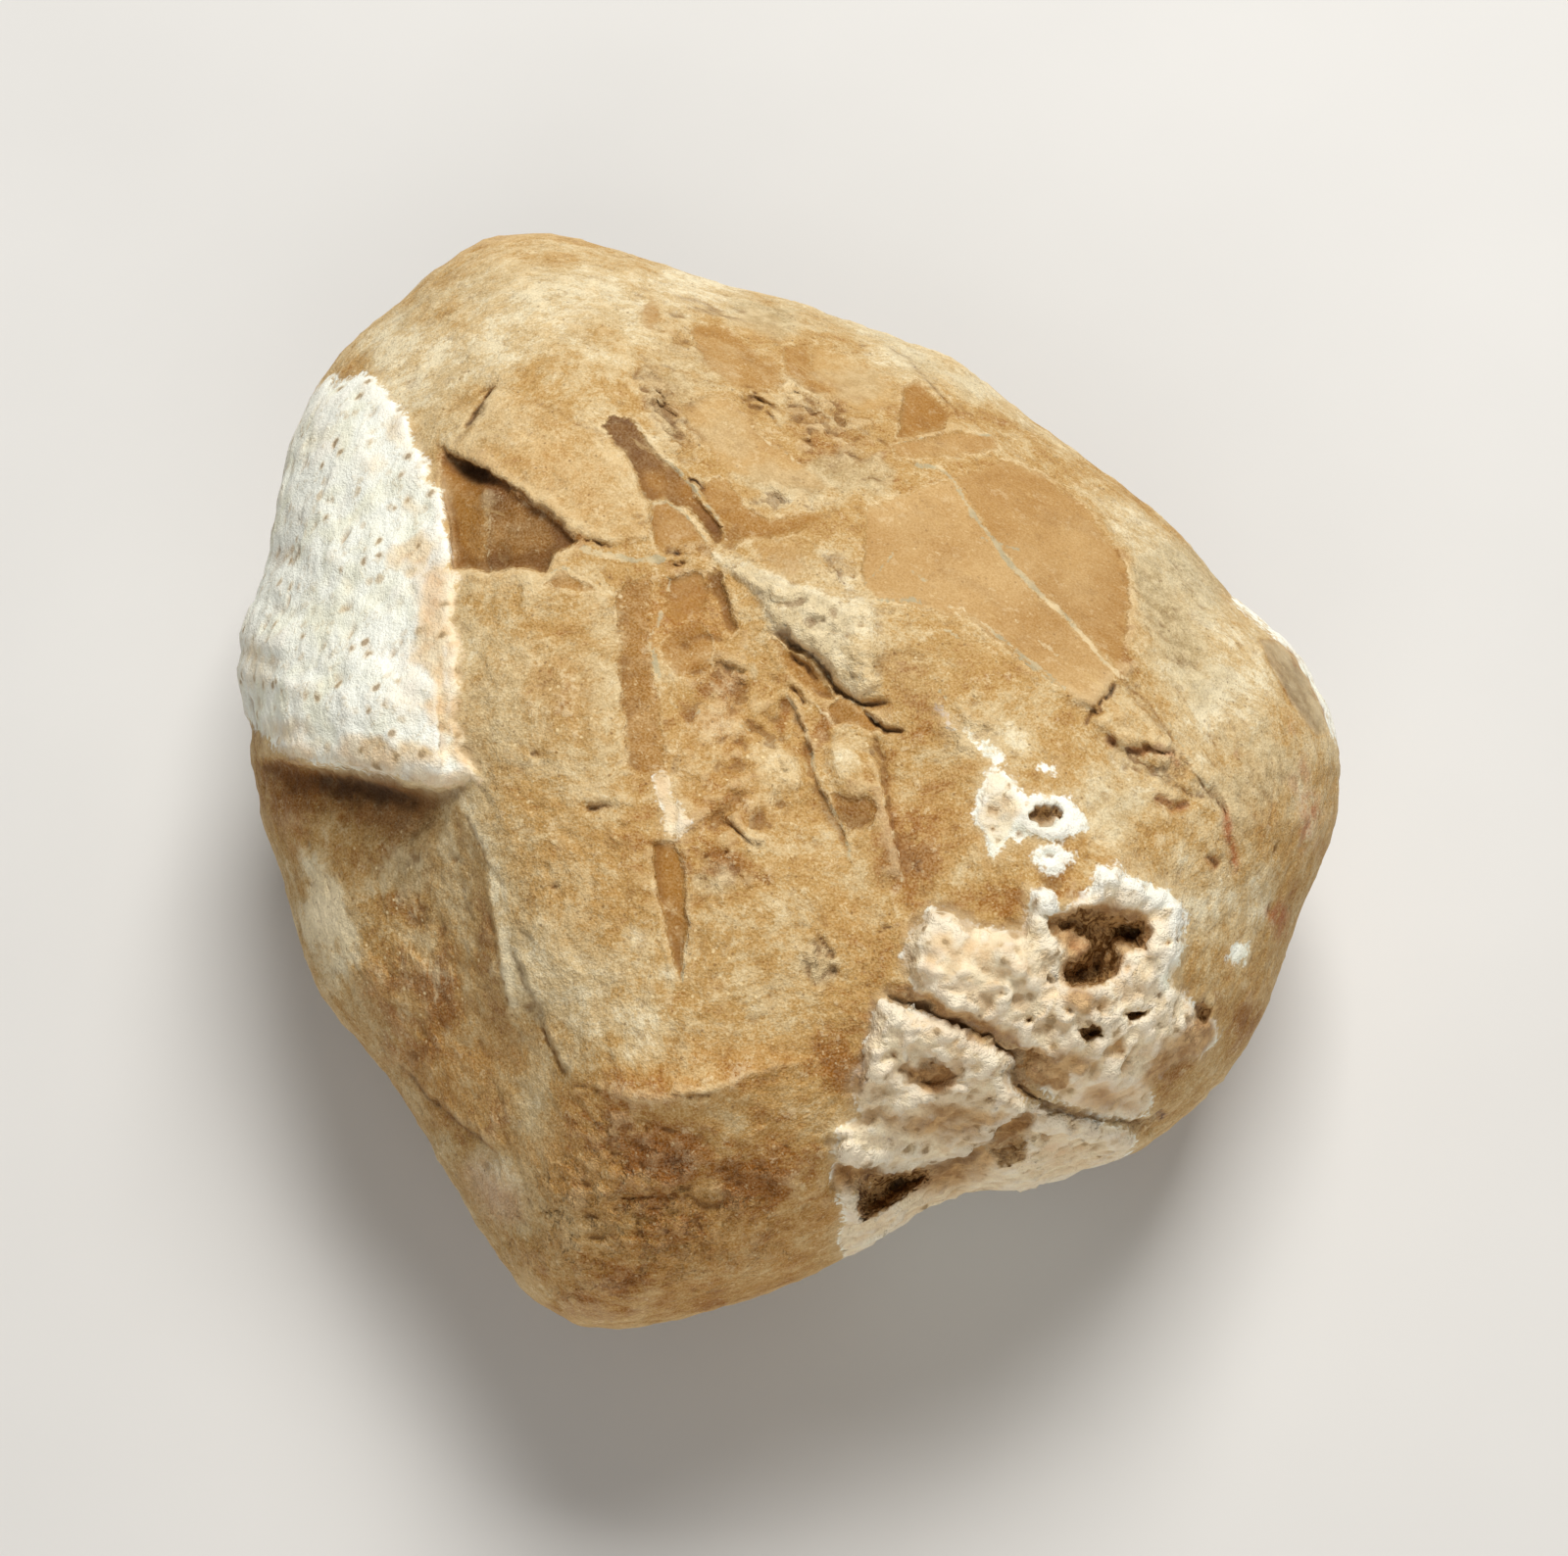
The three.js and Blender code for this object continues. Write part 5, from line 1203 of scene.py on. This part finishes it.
scratch = g.span(g.noise(1.3, 2, 0.6, 0.6, g.slant(-40, (3.6, 0.7, 1.0))), 0.60, 0.70)
col = g.mix(g.math('MULTIPLY', g.math('MULTIPLY', scratch, inface), g.span(mid, 0.42, 0.62, 0.1, 0.4)), col, g.mix(0.5, col, lin(238, 208, 146)))
brink = g.math('MULTIPLY', g.span(g.math('ABSOLUTE', g.math('SUBTRACT', fsd, 0.24)), 0.24, 0.06), g.span(mott, 0.42, 0.60))
col = g.mix(g.math('MULTIPLY', g.math('MULTIPLY', brink, g.attr('amber')), 0.55), col, lin(238, 212, 166))
col = g.mix(g.math('MULTIPLY', g.attr('pink'), 0.55), col, lin(206, 166, 136))
col = g.mix(g.math('MULTIPLY', g.attr('red_and_shade'), g.span(small, 0.32, 0.6)), col, lin(166, 86, 38))
# chipped ground: every chip its own shade
even = g.math('SUBTRACT', 1.0, g.math('MULTIPLY', g.attr('pits'), 0.75), clamp=True)
chipf = g.math('MULTIPLY', ragged('crumb', 0.18, 0.62, 0.6, 0.3), even)
col = g.mix(g.math('MULTIPLY', chipf, 0.52), col, g.mix(g.span(chipc, 0.30, 0.70), g.mix(0.45, col, lin(150, 104, 54)), g.mix(0.42, col, lin(240, 220, 178))))
hair = g.math('MULTIPLY', g.math('MULTIPLY', chipf, g.span(chipd, 0.62, 0.86)), g.span(mid, 0.40, 0.58))
col = g.mix(g.math('MULTIPLY', hair, 0.6), col, lin(92, 56, 24))
# small pits of the porous ground, darker inside as painted shade
pit = g.math('MULTIPLY', g.attr('pits'), g.span(small, 0.49, 0.36))
col = g.mix(g.math('MULTIPLY', pit, 0.45), col, g.mix(0.6, col, lin(96, 56, 14)))
# sand grain, pale and dark flecks
col = g.mix(calmer, col, g.mix(g.span(sand, 0.30, 0.70), g.mix(0.14, col, lin(92, 58, 26)), g.mix(0.12, col, lin(250, 230, 190))))
col = g.mix(g.math('MULTIPLY', calmer, g.span(rock, 0.44, 0.34, 0.0, 0.5)), col, g.mix(0.5, col, lin(104, 64, 26)))
col = g.mix(g.math('MULTIPLY', g.math('MULTIPLY', calmer, even), g.span(rock, 0.57, 0.66, 0.0, 0.6)), col, g.mix(0.5, col, lin(248, 230, 190)))
col = g.mix(g.math('MULTIPLY', calmer, g.span(grain, 0.68, 0.76, 0.0, 0.40)), col, lin(240, 218, 174))
col = g.mix(g.math('MULTIPLY', calmer, g.span(grain, 0.30, 0.23, 0.0, 0.35)), col, lin(112, 70, 32))
streak = g.noise(3.4, 3, 0.7, 0.3, g.stretch((1.7, 0.55, 0.7)))
col = g.mix(g.math('MULTIPLY', g.attr('fleck'), g.span(streak, 0.54, 0.68, 0.0, 0.7)), col, g.mix(0.7, col, lin(240, 222, 180)))
col = g.mix(g.math('MULTIPLY', g.attr('fleck'), g.span(streak, 0.46, 0.34, 0.0, 0.6)), col, g.mix(0.5, col, lin(112, 72, 32)))
# painted glints: bright specks as if light caught on the grains
glint_spots = g.math('MULTIPLY', g.span(near, 0.26, 0.14), g.span(tint, 0.62, 0.68))
glint = g.math('MULTIPLY', glint_spots, g.math('ADD', 0.25, g.math('MULTIPLY', g.attr('fleck'), 0.6)))
col = g.mix(g.math('MULTIPLY', glint, calmer), col, lin(246, 224, 176))
speck = g.math('MULTIPLY', g.span(near, 0.22, 0.12), g.span(tint, 0.36, 0.30))
col = g.mix(g.math('MULTIPLY', g.math('MULTIPLY', speck, calmer), 0.45), col, lin(96, 60, 28))
# paler where the surface stands out, partly worn edges and partly painted highlight; darker in creases as painted shade
conv = g.attr('convex')
col = g.mix(g.math('MULTIPLY', even, g.span(conv, 0.06, 0.30, 0.0, 0.45)), col, g.mix(0.6, col, lin(244, 220, 174)))
col = g.mix(g.span(conv, -0.06, -0.35, 0.0, 0.5), col, lin(110, 70, 32))
# dark cracks, and painted shade where the same mask marks shadows under edges and in pits
crackf = g.math('MULTIPLY', g.attr('crack'), g.span(small, 0.2, 0.5, 0.75, 1.0))
col = g.mix(g.math('MULTIPLY', crackf, 0.9), col, both(g.span(crackf, 0.30, 0.80), (116, 74, 34), (46, 26, 10)))
# thin chalcedony veins
vd = g.math('ADD', g.attr('vein'), g.math('MULTIPLY', g.math('SUBTRACT', small, 0.5), 0.9))
vd = g.math('ADD', vd, g.math('MULTIPLY', g.math('SUBTRACT', grain, 0.5), 0.5))
veinf = g.span(vd, 0.14, -0.14)
col = g.mix(g.math('MULTIPLY', veinf, 0.65), col, both(g.span(mid, 0.4, 0.6), (172, 168, 140), (234, 214, 172)))
# white rind
wd = g.math('ADD', g.attr('white'), g.math('MULTIPLY', g.math('SUBTRACT', small, 0.5), 2.6))
wd = g.math('ADD', wd, g.math('MULTIPLY', g.math('SUBTRACT', grain, 0.5), 1.1))
whitef = g.span(wd, 0.35, -0.35)
chalk = g.span(g.math('ADD', g.attr('white'), g.math('MULTIPLY', g.math('SUBTRACT', mid, 0.5), 5.0)), 1.6, -0.8, 0.0, 0.4)
col = g.mix(chalk, col, lin(226, 204, 162))
rindc = both(g.span(mid, 0.30, 0.58), (248, 248, 228), (253, 255, 245))
rindc = g.mix(g.math('MULTIPLY', ragged('grey', 0.25, 0.8, 0.5, 0.7), 0.75), rindc, both(fine_mix, (188, 182, 158), (230, 226, 204)))
rindc = g.mix(g.math('MULTIPLY', ragged('cream', 0.2, 0.8, 0.7, 0.7), 0.9), rindc, both(fine_mix, (224, 190, 142), (246, 228, 192)))
rindc = g.mix(g.math('MULTIPLY', g.attr('pink'), 0.5), rindc, lin(226, 184, 146))
# paler where the rind stands out, partly wear and partly painted highlight
rindc = g.mix(g.math('MULTIPLY', g.span(conv, 0.08, 0.35, 0.0, 0.6), g.math('SUBTRACT', 1.0, g.math('MULTIPLY', g.attr('cream'), 0.7), clamp=True)), rindc, lin(252, 248, 236))
# painted shade: the rind's pits and pores darker inside
rindc = g.mix(g.math('MULTIPLY', g.attr('rindpit'), g.span(small, 0.3, 0.6, 0.3, 0.7)), rindc, lin(184, 156, 116))
hole = g.math('ADD', pored, g.math('MULTIPLY', g.math('SUBTRACT', small, 0.5), 0.7))
pore = g.math('MULTIPLY', g.span(hole, 0.42, 0.12), g.span(porec, 0.36, 0.56))
rindc = g.mix(g.math('MULTIPLY', pore, 0.6), rindc, lin(204, 176, 132))
pore = g.math('MULTIPLY', g.span(hole, 0.24, 0.10), g.span(porec, 0.52, 0.64))
rindc = g.mix(g.math('MULTIPLY', pore, 0.6), rindc, lin(140, 112, 76))
rindc = g.mix(g.span(rock, 0.55, 0.67, 0.0, 0.42), rindc, lin(208, 188, 148))
# painted shade: the rind darker in creases and deep hollows
rindc = g.mix(g.span(conv, -0.06, -0.45, 0.0, 0.55), rindc, lin(170, 136, 92))
rindc = g.mix(g.span(g.attr('cavity'), -0.2, -1.6, 0.0, 0.6), rindc, lin(190, 150, 102))
rindc = g.mix(g.span(sand, 0.55, 0.8, 0.0, 0.18), rindc, lin(206, 190, 156))
rindc = g.mix(g.math('MULTIPLY', ragged('brown_and_shade', 0.1, 0.7), 0.85), rindc, both(fine_mix, (150, 106, 58), (210, 168, 112)))
rindc = g.mix(g.math('MULTIPLY', g.attr('red_and_shade'), 0.6), rindc, lin(176, 104, 56))
rindc = g.mix(g.math('MULTIPLY', g.attr('crack'), 0.85), rindc, lin(80, 50, 24))
col = g.mix(whitef, col, rindc)
# crystal-lined hollows; the deepest parts go near black as painted shade, with painted glints on the crystals
hollow_and_shade_f = g.attr('hollow_and_shade')
hc = both(g.span(g.math('ADD', g.math('MULTIPLY', tint, 0.35), g.math('MULTIPLY', grain, 0.65)), 0.36, 0.64), (104, 68, 30), (184, 144, 94))
hc = g.mix(g.span(g.attr('cavity'), -1.4, -4.4, 0.0, 0.68), hc, lin(44, 27, 11))
hc = g.mix(g.math('MULTIPLY', glint_spots, 0.5), hc, lin(222, 204, 168))
col = g.mix(g.span(g.math('ADD', hollow_and_shade_f, g.math('MULTIPLY', g.math('SUBTRACT', small, 0.5), 0.6)), 0.25, 0.75), col, hc)

b = g.bsdf
g.t.links.new(col, b.inputs['Base Color'])
rough = g.span(grain, 0.3, 0.7, 0.62, 0.84)
rough = g.math('SUBTRACT', rough, g.math('MULTIPLY', g.attr('smooth'), 0.12))
rough = g.math('ADD', rough, g.math('MULTIPLY', whitef, 0.14))
rough = g.math('SUBTRACT', rough, g.math('MULTIPLY', hollow_and_shade_f, 0.45), clamp=True)
g.t.links.new(rough, b.inputs['Roughness'])
b.inputs['Specular IOR Level'].default_value = 0.16
hgt = g.math('MULTIPLY', g.math('ADD', g.math('MULTIPLY', rock, g.math('ADD', 3.2, g.math('MULTIPLY', g.math('MAXIMUM', g.attr('crumb'), g.math('MULTIPLY', g.attr('pits'), 1.8)), 3.6))), g.math('MULTIPLY', sand, 0.25)), calmer)
hgt = g.math('ADD', hgt, g.math('MULTIPLY', g.span(fsd, -0.2, 0.2), g.math('MULTIPLY', g.attr('amber'), 0.5)))
hgt = g.math('SUBTRACT', hgt, g.math('MULTIPLY', pit, 4.6))
nrm = g.bump(hgt, 0.7, 0.00024)
g.t.links.new(nrm, b.inputs['Normal'])
nodule.data.materials.append(g.mat)

f = Nodes("pale_floor")
fc = f.mix(f.noise(60, 3, 0.5), (0.66, 0.655, 0.645, 1), (0.72, 0.715, 0.705, 1))
f.t.links.new(fc, f.bsdf.inputs['Base Color'])
f.bsdf.inputs['Roughness'].default_value = 0.75
f.bsdf.inputs['Specular IOR Level'].default_value = 0.2
fm = bpy.data.meshes.new("floor")
fs = 3.0
fm.from_pydata([(-fs, -fs, 0), (fs, -fs, 0), (fs, fs, 0), (-fs, fs, 0)], [], [(0, 1, 2, 3)])
floor = bpy.data.objects.new("floor", fm)
floor.location.z = -0.0002
fm.materials.append(f.mat)
bpy.context.scene.collection.objects.link(floor)

# ====================================================================== camera and light
cam = bpy.data.cameras.new("view")
cam.sensor_fit = 'HORIZONTAL'
cam.sensor_width = 36.0
cam.lens = FOCAL / 1600.0 * 36.0
cam.clip_start = 0.01
cam.dof.use_dof = False
co = bpy.data.objects.new("view", cam)
r_, u_, b_ = np.array([1, 0, 0]), np.array([0, SE, CE]), np.array([0, -CE, SE])
loc = (SHIFT + b_ * DIST) * 0.001
co.matrix_world = Matrix(((r_[0], u_[0], b_[0], loc[0]), (r_[1], u_[1], b_[1], loc[1]), (r_[2], u_[2], b_[2], loc[2]), (0, 0, 0, 1)))
bpy.context.scene.collection.objects.link(co)
bpy.context.scene.camera = co


def softbox(name, place, aim, size, watts, tint=(1, 1, 1)):
    la = bpy.data.lights.new(name, 'AREA')
    la.shape = 'RECTANGLE'
    la.size, la.size_y = size
    la.energy = watts
    la.color = tint
    ob = bpy.data.objects.new(name, la)
    v = np.array(aim, float) - np.array(place, float)
    from mathutils import Vector
    ob.rotation_euler = Vector(v).to_track_quat('-Z', 'Y').to_euler()
    ob.location = place
    bpy.context.scene.collection.objects.link(ob)


softbox("key", (0.14, 0.52, 0.90), (0, 0, 0.04), (0.5, 0.4), 11.1, (1.0, 0.98, 0.94))
softbox("fill", (0.05, -0.80, 0.62), (0, 0, 0.03), (0.9, 0.6), 3.8, (1.0, 0.96, 0.90))
world = bpy.data.worlds.new("studio")
world.use_nodes = True
bg = world.node_tree.nodes["Background"]
bg.inputs['Color'].default_value = (1.0, 0.98, 0.95, 1)
bg.inputs['Strength'].default_value = 0.14
bpy.context.scene.world = world
vs = bpy.context.scene.view_settings
vs.view_transform = 'Standard'
vs.look = 'None'
vs.exposure = 0.0

# ====================================================================== into the frame
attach(nodule, "root")
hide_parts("nodule")
